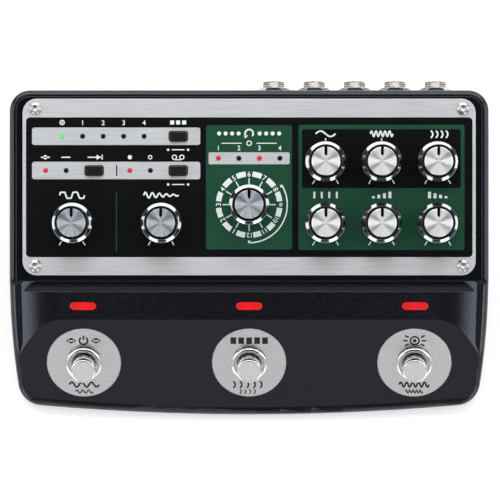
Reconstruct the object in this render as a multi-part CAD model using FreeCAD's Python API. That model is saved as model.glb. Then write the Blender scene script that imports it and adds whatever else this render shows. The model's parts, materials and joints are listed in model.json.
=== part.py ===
import FreeCAD, Part
import math
import os

from FreeCAD import Placement, Rotation, Vector

os.makedirs("parts", exist_ok=True)

# Millimetres. X runs to the right, Y to the back and Z up.
# The origin lies on the table, under the middle of the whole object.

# Plan outline of the case
width = 192.0
depth = 134.1
jack_reach = 5.2
rear_corner_r = 8.2
front_corner_r = 9.5
side_straight = 83.1
side_bow_r = 240.0
front_bow_r = 980.0

# Side profile of the case, slopes in degrees
rear_height = 41.9
lip_height = 5.2
deck_slope = 3.5
front_zone = 52.3
pad_step = 0.4
pad_inset = 2.6
riser_lip = 1.8
riser_run = 3.78
riser_drop = 3.8
riser_top_slope = 12.0
riser_foot_slope = 24.0
riser_edge_r = 0.7
riser_wall_slope = 80.0
band_run = 11.0
band_slope = 32.0
rim_bend_r = 6.0
rim_dip_r = 60.0
edge_r = 2.2
pad_edge_r = 0.3
chin_width = 2.8
chin_r = 6.4
chin_turn = 28.5

# Scooped channel between the two rims
scoop_flat_half = 76.0
scoop_reach = 19.2
scoop_r = 59.0

# Walls, bottom cover and feet
wall = 2.5
cover_thick = 1.2
cover_lip = 1.3
cover_gap = 0.1
foot_height = 2.0
foot_r = 7.0
foot_edge = 0.5
rubber_foot_side_gap = 23.0
rubber_foot_rear_gap = 15.0
rubber_foot_front_gap = 20.5

# Screws, all of one size inside, and the four on the control plate
screw_r = 1.45
screw_head_r = 2.75
screw_head_h = 1.5
screw_length = 5.0
screw_gap = 0.05
screw_hole_spare = 0.5
post_r = 3.2
front_post_gap = 18.5
front_post_side_gap = 7.0
chin_post_gap = 9.5
chin_post_x = 33.0
plate_screw_r = 1.4
plate_screw_head_r = 2.55
plate_screw_head_h = 1.4
plate_screw_rim = 0.3
plate_screw_length = 6.0
plate_screw_socket = 2.5
plate_screw_socket_depth = 0.55
plate_screw_drill_depth = 0.45
clear_hole_gap = 0.2

# Control plate
plate_side_gap = 5.4
plate_rear_gap = 3.7
plate_front_gap = 2.45
plate_thick = 1.0
plate_corner_r = 5.6
plate_edge_r = 0.2
plate_screw_side_gap = 5.0
plate_screw_end_gap = 3.8

# Controls, up and down from the middle of the control plate
upper_knob_y = 10.2
lower_knob_y = -14.35
mode_knob_y = -7.04
upper_strip_y = 20.3
lower_strip_y = 6.6
mode_strip_y = 11.5

# Controls, in from the left or right edge of the control plate
left_knob_inset = 19.8
left_knob_pitch = 35.6
right_knob_inset = 15.15
right_knob_pitch = 22.44
led_pitch = 8.2
memory_led_inset = 15.8
input_led_inset = 9.2
tape_led_inset = 42.9
right_button_inset = 62.25
input_button_inset = 28.6

# Knobs
knob_gap = 0.7
knob_height = 10.3
skirt_r = 8.05
skirt_edge_h = 0.5
skirt_edge_r = 0.15
skirt_flare_h = 3.0
skirt_bend_h = 1.05
skirt_bend_out = 0.25
skirt_bend_r = 1.2
knob_r = 6.95
knob_top_r = 6.7
knob_edge_r = 0.3
ring_drop = 0.4
cap_r = 5.7
cap_thick = 1.1
cap_gap = 0.03
cap_edge = 0.2
pointer_width = 1.2
pointer_length = 3.4
shaft_r = 3.0
shaft_flat = 1.5
shaft_gap = 0.03
shaft_depth = 5.0
shaft_in_knob = 7.2
shaft_hole_gap = 0.5
pot_bore_gap = 0.05

# Push buttons, lights and lamps
button_length = 6.8
button_width = 3.6
button_corner_r = 0.7
button_bevel = 0.35
button_rise = 1.2
button_hole_gap_x = 0.5
button_hole_gap_y = 0.35
button_flange = 1.2
button_flange_h = 0.8
button_flange_gap = 0.3
button_stem_r = 1.2
button_travel = 0.4
button_spare = 0.1
led_r = 1.0
led_gap = 0.05
led_rise = 0.2
lamp_length = 10.5
lamp_width = 3.5
lamp_rise = 0.35
lamp_edge_r = 0.25
lamp_gap = 0.08
lamp_flange = 1.0
lamp_down_band = 6.4

# Control board and the controls on it
board_thick = 1.6
pot_length = 11.0
pot_width = 12.0
pot_height = 6.8
pot_top_gap = 0.2
selector_size = 14.0
tact_size = 6.0
tact_height = 3.5
control_board_side_gap = 6.2
control_board_rear_gap = 9.0
control_board_front_gap = 11.5
board_post_r = 2.75
board_post_edge_gap = 6.0
middle_post_gap = 12.85

# Main board, its pillars and its larger parts
pillar_height = 8.0
pillar_r = 3.0
pillar_side_gap = 5.5
pillar_front_gap = 8.0
pillar_rear_gap = 33.0
main_board_length = 78.8
main_board_wall_gap = 0.8
main_board_post_gap = 1.0
chip_size = 20.0
chip_height = 1.5
chip_x = -30.0
chip_y = 12.0
memory_chip_size = 10.0
memory_chip_y = -8.0
capacitor_r = 3.15
capacitor_height = 7.0
capacitor_x = -58.0
capacitor_pitch = 8.0
capacitor_count = 2

# Cable between the boards
ribbon_x = 30.0
ribbon_width = 20.0
ribbon_thick = 0.8
ribbon_bend = 1.1
header_length = 23.0
header_width = 4.0
header_height = 5.0
ribbon_top_y = 5.5
ribbon_bottom_y = -12.0

# Footswitches, heights measured square to the foot surface
foot_side_gap = 29.2
foot_down_slope = 18.65
foot_plate_r = 15.0
foot_plate_thick = 1.0
foot_plate_edge = 0.25
bush_r = 6.0
bush_hole_gap = 0.2
bush_rise = 1.9
bush_mouth_r = 5.4
bush_mouth_depth = 1.3
bush_shoulder = 0.9
housing_r = 7.5
housing_depth = 6.7
housing_floor = 0.8
collar_r = 7.15
collar_height = 2.0
collar_edge_r = 0.7
collar_inner_edge_r = 0.3
neck_r = 3.9
neck_gap = 0.05
plunger_r = 5.0
plunger_travel = 2.0
plunger_spare = 0.3
plunger_length = 4.3
plunger_edge_r = 0.5
plunger_under_r = 0.3
plunger_flange_r = 4.9
plunger_flange_h = 1.2
plunger_play = 0.1
chamber_r = 5.2
spring_r = 4.2
spring_wire_r = 0.3
spring_turns = 4

# Rear sockets, in from the side walls
jack_side_gap = 20.6
jack_pitch = 16.35
jack_count = 5
jack_bore_r = 3.2
jack_bush_r = 4.5
jack_body_width = 13.8
jack_body_height = 13.4
jack_body_length = 25.0
jack_end_wall = 1.0
jack_mouth = 0.4
jack_hole_gap = 0.15
nut_across_flats = 11.35
nut_thick = 2.5
nut_chamfer = 0.5
nut_gap = 0.02
mini_side_gap = 60.0
mini_pitch = 14.0
mini_count = 2
mini_bore_r = 1.8
mini_bush_r = 3.0
mini_body_width = 8.0
mini_body_height = 6.4
mini_body_length = 14.0
usb_side_gap = 44.0
usb_width = 8.0
usb_height = 3.2
usb_length = 7.0
usb_skin = 0.4
usb_setback = 0.3
dc_side_gap = 26.0
dc_width = 9.0
dc_height = 11.0
dc_length = 14.0
dc_bore_r = 2.85
dc_bore_depth = 9.0
dc_pin_r = 1.05
dc_pin_setback = 0.6
socket_gap = 0.15

# Longer than anything here, for the shapes that cut
BIG = 2 * (width + depth)

# Case, worked out from the sizes above
half_width = width / 2
rear_y = depth / 2 - jack_reach
front_y = -depth / 2
side_end_y = rear_y - side_straight
inner_rear_y = rear_y - wall
cover_top = foot_height + cover_thick
deck_under = -wall
deck_run = (rear_y - front_y - front_zone) / math.cos(math.radians(deck_slope))


def side_point(run, drop):
    """A point of the side profile: run along the deck from the rear wall, drop square to it."""
    turn = math.radians(deck_slope)
    y = rear_y - run * math.cos(turn) + drop * math.sin(turn)
    z = rear_height - run * math.sin(turn) - drop * math.cos(turn)
    return Vector(0, y, z)


def run_and_drop(y, z):
    """The run and drop of a point given by its place and height, as the x and y of a vector."""
    turn = math.radians(deck_slope)
    back = rear_y - y
    down = rear_height - z
    run = back * math.cos(turn) + down * math.sin(turn)
    return Vector(run, down * math.cos(turn) - back * math.sin(turn), 0)


def tilted(origin, slope):
    """Placement with its Z square to a surface that falls to the front by slope."""
    return Placement(origin, Rotation(Vector(1, 0, 0), slope))


riser_slopes = [math.radians(turn) for turn in (riser_top_slope, riser_foot_slope, riser_wall_slope)]
riser_chord = (riser_slopes[0] + riser_slopes[1]) / 2
riser_brow = Vector(deck_run + riser_run, riser_lip + riser_run * math.tan(riser_chord), 0)
riser_edge_run = riser_edge_r * (math.sin(riser_slopes[2]) - math.sin(riser_slopes[1]))
riser_edge_drop = riser_edge_r * (math.cos(riser_slopes[1]) - math.cos(riser_slopes[2]))
riser_wall_top = riser_brow + Vector(riser_edge_run, riser_edge_drop, 0)
riser_wall_drop = riser_lip + riser_drop - riser_wall_top.y
riser_wall_run = riser_wall_drop / math.tan(riser_slopes[2])
band_start = riser_wall_top + Vector(riser_wall_run, riser_wall_drop, 0)
band_fall = math.tan(math.radians(band_slope))
crease = band_start + Vector(band_run, band_run * band_fall, 0)
lip = run_and_drop(front_y, lip_height)
foot_fall = (lip.y - crease.y) / (lip.x - crease.x)
foot_slope = math.degrees(math.atan(foot_fall))

# Control plate and boards, worked out from the case
plate_length = width - 2 * plate_side_gap
plate_depth = deck_run - plate_rear_gap - plate_front_gap
plate_screw_x = plate_length / 2 - plate_screw_side_gap
plate_screw_y = plate_depth / 2 - plate_screw_end_gap
board_top = deck_under - pot_height - pot_top_gap
control_board_half = plate_length / 2 - control_board_side_gap
control_board_rear = plate_depth / 2 - control_board_rear_gap
control_board_front = control_board_front_gap - plate_depth / 2
main_board_z = cover_top + pillar_height
main_board_top = main_board_z + board_thick
main_board_half = plate_screw_x - post_r - main_board_post_gap
main_board_rear_y = inner_rear_y - main_board_wall_gap
main_board_front_y = main_board_rear_y - main_board_length

# Places of the three tilted surfaces that carry things
deck_middle = side_point(plate_rear_gap + plate_depth / 2, 0)
deck_place = tilted(deck_middle, deck_slope)
lamp_run = lamp_down_band * math.cos(math.radians(band_slope))
band_lamp = band_start + Vector(lamp_run, lamp_run * band_fall, 0)
band_place = tilted(side_point(band_lamp.x, band_lamp.y), deck_slope + band_slope)
foot_run = foot_down_slope * math.cos(math.radians(foot_slope))
foot_spot = crease + Vector(foot_run, foot_run * foot_fall, 0)
foot_place = tilted(side_point(foot_spot.x, foot_spot.y), deck_slope + foot_slope)


def placed(shape, place, x=0.0, y=0.0):
    """A copy of a shape moved to x, y in a tilted frame."""
    spot = Placement(Vector(x, y, 0), Rotation())
    copy = shape.copy()
    copy.Placement = place.multiply(spot).multiply(copy.Placement)
    return copy


def rod(radius, low, high, x=0.0, y=0.0):
    """Upright cylinder between two heights."""
    return Part.makeCylinder(radius, high - low, Vector(x, y, low))


def rod_y(radius, near, far, x, z):
    """Cylinder along Y between two places."""
    return Part.makeCylinder(radius, far - near, Vector(x, near, z), Vector(0, 1, 0))


def block(size_x, size_y, low, high, x=0.0, y=0.0):
    """Upright block centred on x, y between two heights."""
    corner = Vector(x - size_x / 2, y - size_y / 2, low)
    return Part.makeBox(size_x, size_y, high - low, corner)


def rounded(points, radii):
    """Closed wire through the points, with an arc of the given radius at each corner."""
    starts = []
    middles = []
    ends = []
    count = len(points)
    for index, corner in enumerate(points):
        radius = radii[index]
        before = (points[index - 1] - corner).normalize()
        after = (points[(index + 1) % count] - corner).normalize()
        half = before.getAngle(after) / 2
        reach = radius / math.tan(half)
        starts.append(corner + before * reach)
        ends.append(corner + after * reach)
        if radius > 0:
            inward = (before + after).normalize()
            middles.append(corner + inward * (radius / math.sin(half) - radius))
        else:
            middles.append(None)
    edges = []
    for index in range(count):
        if middles[index]:
            edges.append(Part.Arc(starts[index], middles[index], ends[index]).toShape())
        following = (index + 1) % count
        if ends[index].distanceToPoint(starts[following]) > 1e-6:
            edges.append(Part.makeLine(ends[index], starts[following]))
    return Part.Wire(edges)


def polygon(points):
    """Closed wire with sharp corners."""
    return rounded(points, [0.0] * len(points))


def turned(points, radii=None):
    """Solid of revolution about Z from a closed outline of (radius, height) pairs."""
    corners = [Vector(r, 0, z) for r, z in points]
    wire = rounded(corners, radii or [0.0] * len(corners))
    return Part.Face(wire).revolve(Vector(), Vector(0, 0, 1), 360)


def rounded_plate(length, across, radius, low, high):
    """Plate with rounded corners, centred on the origin, between two heights."""
    half_x = length / 2
    half_y = across / 2
    corners = [Vector(-half_x, -half_y, low), Vector(half_x, -half_y, low)]
    corners += [Vector(half_x, half_y, low), Vector(-half_x, half_y, low)]
    face = Part.Face(rounded(corners, [radius] * 4))
    return face.extrude(Vector(0, 0, high - low))


def bar(length, across, low, high):
    """Plate with fully round ends."""
    return rounded_plate(length, across, across / 2, low, high)


def hexagon(across_flats, low, high):
    """Hexagonal prism with its corners on the X axis."""
    reach = across_flats / math.sqrt(3)
    corners = []
    for step in range(6):
        turn = math.radians(60 * step)
        corners.append(Vector(reach * math.cos(turn), reach * math.sin(turn), low))
    return Part.Face(polygon(corners)).extrude(Vector(0, 0, high - low))


def arc_edge(centre, radius, start, end):
    """Arc in a level plane between two angles in radians."""
    spots = []
    for turn in (start, (start + end) / 2, end):
        spots.append(centre + Vector(radius * math.cos(turn), radius * math.sin(turn), 0))
    return Part.Arc(*spots).toShape()


def side_x(y):
    """Half width of the case at a place in front of its straight sides."""
    return half_width - side_bow_r + math.sqrt(side_bow_r**2 - (side_end_y - y) ** 2)


def outline(inset):
    """Plan outline of the case moved inwards, as a level face at height 0."""
    side_centre = Vector(half_width - side_bow_r, side_end_y, 0)
    bow_centre = Vector(0, front_y + front_bow_r, 0)
    side_reach = side_bow_r - front_corner_r
    bow_reach = front_bow_r - front_corner_r
    apart = bow_centre - side_centre
    along = (side_reach**2 - bow_reach**2 + apart.Length**2) / (2 * apart.Length)
    across = math.sqrt(side_reach**2 - along**2)
    unit = Vector(apart.x, apart.y, 0).normalize()
    corner_centre = side_centre + unit * along + Vector(unit.y, -unit.x, 0) * across
    to_side = corner_centre - side_centre
    to_bow = corner_centre - bow_centre
    side_turn = math.atan2(to_side.y, to_side.x)
    bow_turn = math.atan2(to_bow.y, to_bow.x)
    rear_centre = Vector(half_width - rear_corner_r, rear_y - rear_corner_r, 0)
    edge_x = half_width - inset
    back = rear_y - inset
    half = [
        arc_edge(rear_centre, rear_corner_r - inset, 0, math.pi / 2),
        Part.makeLine(Vector(edge_x, rear_centre.y, 0), Vector(edge_x, side_end_y, 0)),
        arc_edge(side_centre, side_bow_r - inset, 0, side_turn),
        arc_edge(corner_centre, front_corner_r - inset, side_turn, bow_turn),
    ]
    mirrored = [edge.mirror(Vector(), Vector(1, 0, 0)) for edge in half]
    rear = Part.makeLine(Vector(rear_centre.x, back, 0), Vector(-rear_centre.x, back, 0))
    bow = arc_edge(bow_centre, front_bow_r - inset, -math.pi - bow_turn, bow_turn)
    loop = Part.sortEdges(half + mirrored + [rear, bow])[0]
    return Part.Face(Part.Wire(loop))


def column(inset, low, high):
    """Upright prism on the plan outline moved inwards."""
    face = outline(inset)
    face.translate(Vector(0, 0, low))
    return face.extrude(Vector(0, 0, high - low))


def across_case(points, radii=None):
    """Prism that runs the whole width of the case, from a closed side outline."""
    wire = rounded(points, radii or [0.0] * len(points))
    face = Part.Face(wire)
    face.translate(Vector(-width, 0, 0))
    return face.extrude(Vector(2 * width, 0, 0))


def on_line(start, fall, run):
    """The point at a run on a line of the side profile."""
    return side_point(run, start.y + (run - start.x) * fall)


def profile_arc(start, end, start_turn, end_turn):
    """Arc of the side profile whose slope, in radians, grows from its start to its end."""
    chord = end - start
    rise = math.tan((end_turn - start_turn) / 4) / 2
    middle = start + chord / 2 + Vector(chord.y, -chord.x, 0) * rise
    spots = [side_point(spot.x, spot.y) for spot in (start, middle, end)]
    return Part.Arc(*spots).toShape()


def crossing(start, fall, other, other_fall):
    """The run at which two lines of the side profile meet."""
    return (other.y - start.y + start.x * fall - other.x * other_fall) / (fall - other_fall)


def under_surfaces(deck_drop, bends, foot_point, bend_radii):
    """Prism across the case, under a line along the deck, the bends and the foot slope."""
    rear = side_point(-BIG, deck_drop)
    front = on_line(foot_point, foot_fall, BIG)
    below = [Vector(0, front.y, -BIG), Vector(0, rear.y, -BIG)]
    return across_case([rear] + bends + [front] + below, [0] + bend_radii + [0, 0, 0])


def faces_at(shape, edge):
    """Normals of the two faces beside an edge, at its middle."""
    middle = edge.valueAt((edge.FirstParameter + edge.LastParameter) / 2)
    normals = []
    for face in shape.ancestorsOfType(edge, Part.Face):
        u, v = face.Surface.parameter(middle)
        normals.append(face.normalAt(u, v))
    return normals


def upper_edges(shape):
    """Edges where an upright wall meets a surface that looks upwards."""
    found = []
    for edge in shape.Edges:
        normals = faces_at(shape, edge)
        if len(normals) != 2:
            continue
        flat, steep = sorted((abs(n.z) for n in normals), reverse=True)
        upward = max(n.z for n in normals)
        if steep < 0.05 and upward > 0.3 and flat > 0.3:
            found.append(edge)
    return found


def soften_top(shape, height, radius):
    """Round off all the edges at one height."""
    rim = [edge for edge in shape.Edges if all(abs(v.Z - height) < 1e-6 for v in edge.Vertexes)]
    return shape.makeFillet(radius, rim)


def save(name, *solids):
    """Write one node as a STEP file of separate solids."""
    shape = solids[0] if len(solids) == 1 else Part.makeCompound(list(solids))
    shape.exportStep(os.path.join("parts", name + ".step"))


# Places of the controls on the plate, by name
left_edge = -plate_length / 2
right_edge = plate_length / 2
left_knob_x = left_edge + left_knob_inset
right_knob_x = right_edge - right_knob_inset
knob_spots = {
    "saturation": (left_knob_x, lower_knob_y),
    "flutter": (left_knob_x + left_knob_pitch, lower_knob_y),
    "mode": (0.0, mode_knob_y),
    "bass": (right_knob_x - 2 * right_knob_pitch, upper_knob_y),
    "treble": (right_knob_x - right_knob_pitch, upper_knob_y),
    "reverb": (right_knob_x, upper_knob_y),
    "rate": (right_knob_x - 2 * right_knob_pitch, lower_knob_y),
    "intensity": (right_knob_x - right_knob_pitch, lower_knob_y),
    "echo": (right_knob_x, lower_knob_y),
}
button_spots = {
    "memory": (left_edge + right_button_inset, upper_strip_y),
    "input": (left_edge + input_button_inset, lower_strip_y),
    "tape": (left_edge + right_button_inset, lower_strip_y),
}
green_led_spot = (left_edge + memory_led_inset, upper_strip_y)
red_led_spots = [(green_led_spot[0] + led_pitch * step, upper_strip_y) for step in range(1, 5)]
red_led_spots += [(left_edge + input_led_inset + led_pitch * step, lower_strip_y) for step in range(2)]
red_led_spots += [(left_edge + tape_led_inset + led_pitch * step, lower_strip_y) for step in range(2)]
red_led_spots += [(led_pitch * (step - 1.5), mode_strip_y) for step in range(4)]
plate_screw_rows = (-plate_screw_y, plate_screw_y)
plate_screw_spots = [(x, y) for x in (-plate_screw_x, plate_screw_x) for y in plate_screw_rows]

# Posts under the deck, between the controls
left_post_x = left_knob_x + left_knob_pitch / 2
right_post_x = right_knob_x - right_knob_pitch / 2
middle_post_x = left_edge + right_button_inset + middle_post_gap
low_post_y = control_board_front + board_post_edge_gap
high_post_y = control_board_rear - board_post_edge_gap
board_post_spots = [
    (left_post_x, low_post_y),
    (right_post_x, low_post_y),
    (middle_post_x, high_post_y),
    (right_post_x, high_post_y),
]

# Pillars on the cover
pillar_x = main_board_half - pillar_side_gap
pillar_rows = (main_board_front_y + pillar_front_gap, main_board_rear_y - pillar_rear_gap)
pillar_spots = [(x, y) for x in (-pillar_x, pillar_x) for y in pillar_rows]

# Footswitches and rear sockets
foot_x = half_width - foot_side_gap
foot_spots = {"left": -foot_x, "centre": 0.0, "right": foot_x}
jack_spots = [half_width - jack_side_gap - jack_pitch * step for step in range(jack_count)]
mini_spots = [mini_side_gap + mini_pitch * step - half_width for step in range(mini_count)]
usb_x = usb_side_gap - half_width
dc_x = dc_side_gap - half_width
jack_z = main_board_top + jack_body_height / 2
mini_z = main_board_top + mini_body_height / 2
usb_z = main_board_top + usb_height / 2
dc_z = main_board_top + dc_height / 2


def level_spot(x, y):
    """Where a place on the deck lies seen from straight above."""
    spot = deck_place.multVec(Vector(x, y, 0))
    return (spot.x, spot.y)


front_post_y = front_y + front_post_gap
front_post_x = side_x(front_post_y) - front_post_side_gap
cover_screw_spots = [level_spot(x, y) for x, y in plate_screw_spots]
cover_screw_spots += [(x, front_post_y) for x in (-front_post_x, front_post_x)]
cover_screw_spots += [(x, front_y + chin_post_gap) for x in (-chin_post_x, chin_post_x)]


def case_body():
    """Outer form of the case: a column on the outline under the side profile."""
    rim_start = Vector(deck_run, pad_step, 0)
    dip = crossing(rim_start, band_fall, crease, foot_fall)
    bends = [side_point(deck_run, pad_step), on_line(rim_start, band_fall, dip)]
    body = column(0, foot_height, BIG)
    body = body.common(under_surfaces(pad_step, bends, crease, [rim_bend_r, rim_dip_r]))
    body = body.cut(chin_cutter())
    return body.makeFillet(edge_r, upper_edges(body))


def chin_cutter():
    """Ring that rounds the front lip: it follows the bow of the front, square to the foot slope."""
    fall = math.radians(deck_slope + foot_slope)
    start = side_point(crease.x, crease.y)
    to_wall = (start.y - front_y) / math.cos(fall)
    bow = front_bow_r * math.cos(fall)
    reach = bow - chin_width / math.cos(fall)
    turn = math.radians(chin_turn)
    mid = Vector(reach + chin_r * math.sin(turn / 2), 0, chin_r * (math.cos(turn / 2) - 1))
    low = Vector(reach + chin_r * math.sin(turn), 0, chin_r * (math.cos(turn) - 1))
    far = low + Vector(math.cos(turn), 0, -math.sin(turn)) * chin_r
    top = Vector(far.x, 0, chin_r)
    over = Vector(reach, 0, chin_r)
    edges = [Part.Arc(Vector(reach, 0, 0), mid, low).toShape()]
    for first, second in ((low, far), (far, top), (top, over), (over, Vector(reach, 0, 0))):
        edges.append(Part.makeLine(first, second))
    face = Part.Face(Part.Wire(edges))
    sweep = math.degrees(width / bow)
    face.rotate(Vector(), Vector(0, 0, 1), -90 - sweep / 2)
    ring = face.revolve(Vector(), Vector(0, 0, 1), sweep)
    place = tilted(start, deck_slope + foot_slope)
    ring.Placement = place.multiply(Placement(Vector(0, bow - to_wall, 0), Rotation()))
    return ring


def scoop_cutter():
    """What is milled out between the rims: in front of the riser, over the band and the foot slope."""
    lip_spot = Vector(deck_run, riser_lip, 0)
    wall_fall = math.tan(riser_slopes[2])
    meet = crossing(band_start, wall_fall, crease, foot_fall)
    corners = [on_line(band_start, wall_fall, meet), on_line(crease, foot_fall, BIG)]
    corners += [side_point(BIG, -BIG), side_point(deck_run, -BIG), side_point(lip_spot.x, lip_spot.y)]
    edges = [Part.makeLine(a, b) for a, b in zip(corners, corners[1:])]
    edges.append(profile_arc(lip_spot, riser_brow, riser_slopes[0], riser_slopes[1]))
    edges.append(profile_arc(riser_brow, riser_wall_top, riser_slopes[1], riser_slopes[2]))
    edges.append(Part.makeLine(side_point(riser_wall_top.x, riser_wall_top.y), corners[0]))
    face = Part.Face(Part.Wire(edges))
    face.translate(Vector(-width, 0, 0))
    region = face.extrude(Vector(2 * width, 0, 0))
    return region.common(scoop_channel())


def scoop_channel():
    """Trough along the band slope: flat in the middle, with a shallow arc up to each rim."""
    rise = scoop_r - math.sqrt(scoop_r**2 - scoop_reach**2)
    half_turn = math.asin(scoop_reach / scoop_r) / 2
    out = scoop_flat_half + scoop_reach
    bend_x = scoop_flat_half + scoop_r * math.sin(half_turn)
    bend_z = scoop_r * (1 - math.cos(half_turn))
    left = Part.Arc(Vector(-out, 0, rise), Vector(-bend_x, 0, bend_z), Vector(-scoop_flat_half, 0, 0))
    right = Part.Arc(Vector(scoop_flat_half, 0, 0), Vector(bend_x, 0, bend_z), Vector(out, 0, rise))
    floor = Part.makeLine(Vector(-scoop_flat_half, 0, 0), Vector(scoop_flat_half, 0, 0))
    sides = [Vector(out, 0, rise), Vector(out, 0, BIG), Vector(-out, 0, BIG), Vector(-out, 0, rise)]
    edges = [left.toShape(), floor, right.toShape()]
    edges += [Part.makeLine(a, b) for a, b in zip(sides, sides[1:])]
    face = Part.Face(Part.Wire(edges))
    face.translate(Vector(0, BIG, 0))
    trough = face.extrude(Vector(0, -2 * BIG, 0))
    trough.Placement = tilted(side_point(band_start.x, band_start.y), deck_slope + band_slope)
    return trough


def deck_pad():
    """Slightly raised flat that carries the control plate, with a softened edge."""
    points = [side_point(-BIG, 0), side_point(deck_run, 0)]
    points += [side_point(deck_run, pad_step + wall / 2), side_point(-BIG, pad_step + wall / 2)]
    pad = column(pad_inset, foot_height, BIG).common(across_case(points))
    top = [edge for edge in pad.Edges if on_deck_top(edge)]
    return pad.makeFillet(pad_edge_r, top)


def on_deck_top(edge):
    """Whether an edge lies in the plane of the deck."""
    inverse = deck_place.inverse()
    return all(abs(inverse.multVec(vertex.Point).z) < 1e-4 for vertex in edge.Vertexes)


def case_cavity():
    """Inside of the case, a wall thickness below every outer surface, and the rebate of the cover."""
    band_inner = band_start + Vector(0, wall / math.cos(math.radians(band_slope)), 0)
    foot_inner = crease + Vector(0, wall / math.cos(math.radians(foot_slope)), 0)
    deck_inner = Vector(0, wall, 0)
    first = crossing(deck_inner, 0.0, band_inner, band_fall)
    second = crossing(band_inner, band_fall, foot_inner, foot_fall)
    bends = [side_point(first, wall), on_line(band_inner, band_fall, second)]
    hollow = column(wall, foot_height, BIG).common(under_surfaces(wall, bends, foot_inner, [0, 0]))
    rebate = column(cover_lip, foot_height, cover_top)
    return hollow.fuse(rebate)


def case_holes():
    """Every hole through the deck, the foot slope, the band and the rear wall."""
    holes = []
    deck_holes = [rod(shaft_r + shaft_hole_gap, deck_under - 1, 1, x, y) for x, y in knob_spots.values()]
    deck_holes += [button_hole(x, y, deck_under - 1, 1) for x, y in button_spots.values()]
    lights = red_led_spots + [green_led_spot]
    deck_holes += [rod(led_r + led_gap, deck_under - 1, 1, x, y) for x, y in lights]
    screw_end = plate_thick - plate_screw_length - screw_hole_spare
    deck_holes += [rod(plate_screw_r + screw_gap, screw_end, 1, x, y) for x, y in plate_screw_spots]
    holes += [placed(hole, deck_place) for hole in deck_holes]
    for x, y in board_post_spots:
        depth_in_post = screw_length - board_thick + screw_hole_spare
        hole = rod(screw_r + screw_gap, board_top - 1, board_top + depth_in_post, x, y)
        holes.append(placed(hole, deck_place))
    bush_hole = rod(bush_r + bush_hole_gap, -wall - 2, 2)
    lamp_slot = bar(lamp_length + 2 * lamp_gap, lamp_width + 2 * lamp_gap, -wall - 1, 2)
    for x in foot_spots.values():
        holes.append(placed(bush_hole, foot_place, x))
        holes.append(placed(lamp_slot, band_place, x))
    for x in jack_spots:
        holes.append(rod_y(jack_bush_r + jack_hole_gap, inner_rear_y - 1, rear_y + 1, x, jack_z))
    for x in mini_spots:
        holes.append(rod_y(mini_bush_r + jack_hole_gap, inner_rear_y - 1, rear_y + 1, x, mini_z))
    holes.append(rear_window(usb_width, usb_height, usb_x, usb_z))
    holes.append(rear_window(dc_width, dc_height, dc_x, dc_z))
    for x, y in cover_screw_spots:
        top = foot_height + screw_length + screw_hole_spare
        holes.append(rod(screw_r + screw_gap, cover_top - 1, top, x, y))
    return holes


def rear_window(across, high, x, z):
    """Rectangular hole in the rear wall, round a socket of the given size."""
    low = z - high / 2 - socket_gap
    top = z + high / 2 + socket_gap
    return block(across + 2 * socket_gap, wall + 2, low, top, x, rear_y - wall / 2)


def button_hole(x, y, low, high):
    """Rounded hole that a push button passes through."""
    hole = rounded_plate(
        button_length + 2 * button_hole_gap_x,
        button_width + 2 * button_hole_gap_y,
        button_corner_r + button_hole_gap_y,
        low,
        high,
    )
    hole.translate(Vector(x, y, 0))
    return hole


def make_top_case():
    """Die-cast shell with posts for the screws inside."""
    outer = case_body().fuse(deck_pad()).removeSplitter()
    outer = outer.cut(scoop_cutter())
    shell = outer.cut(case_cavity())
    posts = [rod(post_r, cover_top, BIG, x, y) for x, y in cover_screw_spots]
    board_posts = [rod(board_post_r, board_top, 0, x, y) for x, y in board_post_spots]
    posts = [post.common(outer) for post in posts]
    posts += [placed(post, deck_place).common(outer) for post in board_posts]
    shell = shell.fuse(posts)
    return shell.cut(case_holes()).removeSplitter()


def screw(head_r, head_h, shank_r, length):
    """Pan head screw with its shank upwards and the underside of its head at height 0."""
    head = turned([(0, -head_h), (head_r, -head_h), (head_r, 0), (0, 0)], [0, head_h / 2, 0, 0])
    return head.fuse(rod(shank_r, 0, length)).removeSplitter()


def make_screws():
    """All the equal screws: cover, control board and main board."""
    solids = []
    for x, y in cover_screw_spots:
        piece = screw(screw_head_r, screw_head_h, screw_r, screw_length)
        piece.translate(Vector(x, y, foot_height))
        solids.append(piece)
    for x, y in board_post_spots:
        piece = screw(screw_head_r, screw_head_h, screw_r, screw_length)
        piece.translate(Vector(0, 0, board_top - board_thick))
        solids.append(placed(piece, deck_place, x, y))
    for x, y in pillar_spots:
        piece = screw(screw_head_r, screw_head_h, screw_r, screw_length)
        piece.rotate(Vector(), Vector(1, 0, 0), 180)
        piece.translate(Vector(x, y, main_board_top))
        solids.append(piece)
    return solids


def make_bottom_cover():
    """Flat steel cover in its rebate, with four pillars for the main board."""
    plate = column(cover_lip + cover_gap, foot_height, cover_top)
    pillars = [rod(pillar_r, cover_top, main_board_z, x, y) for x, y in pillar_spots]
    depth_in_pillar = screw_length - board_thick + screw_hole_spare
    plate = plate.fuse(pillars).removeSplitter()
    cuts = [rod(screw_r + clear_hole_gap, 0, cover_top + 1, x, y) for x, y in cover_screw_spots]
    low = main_board_z - depth_in_pillar
    cuts += [rod(screw_r + screw_gap, low, main_board_z + 1, x, y) for x, y in pillar_spots]
    return plate.cut(cuts)


def make_rubber_feet():
    """Four round feet with a softened lower edge."""
    solids = []
    side = half_width - rubber_foot_side_gap
    points = [(0, 0), (foot_r, 0), (foot_r, foot_height), (0, foot_height)]
    for y in (front_y + rubber_foot_front_gap, rear_y - rubber_foot_rear_gap):
        for x in (-side, side):
            foot = turned(points, [0, foot_edge, 0, 0])
            foot.translate(Vector(x, y, 0))
            solids.append(foot)
    return solids


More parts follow.
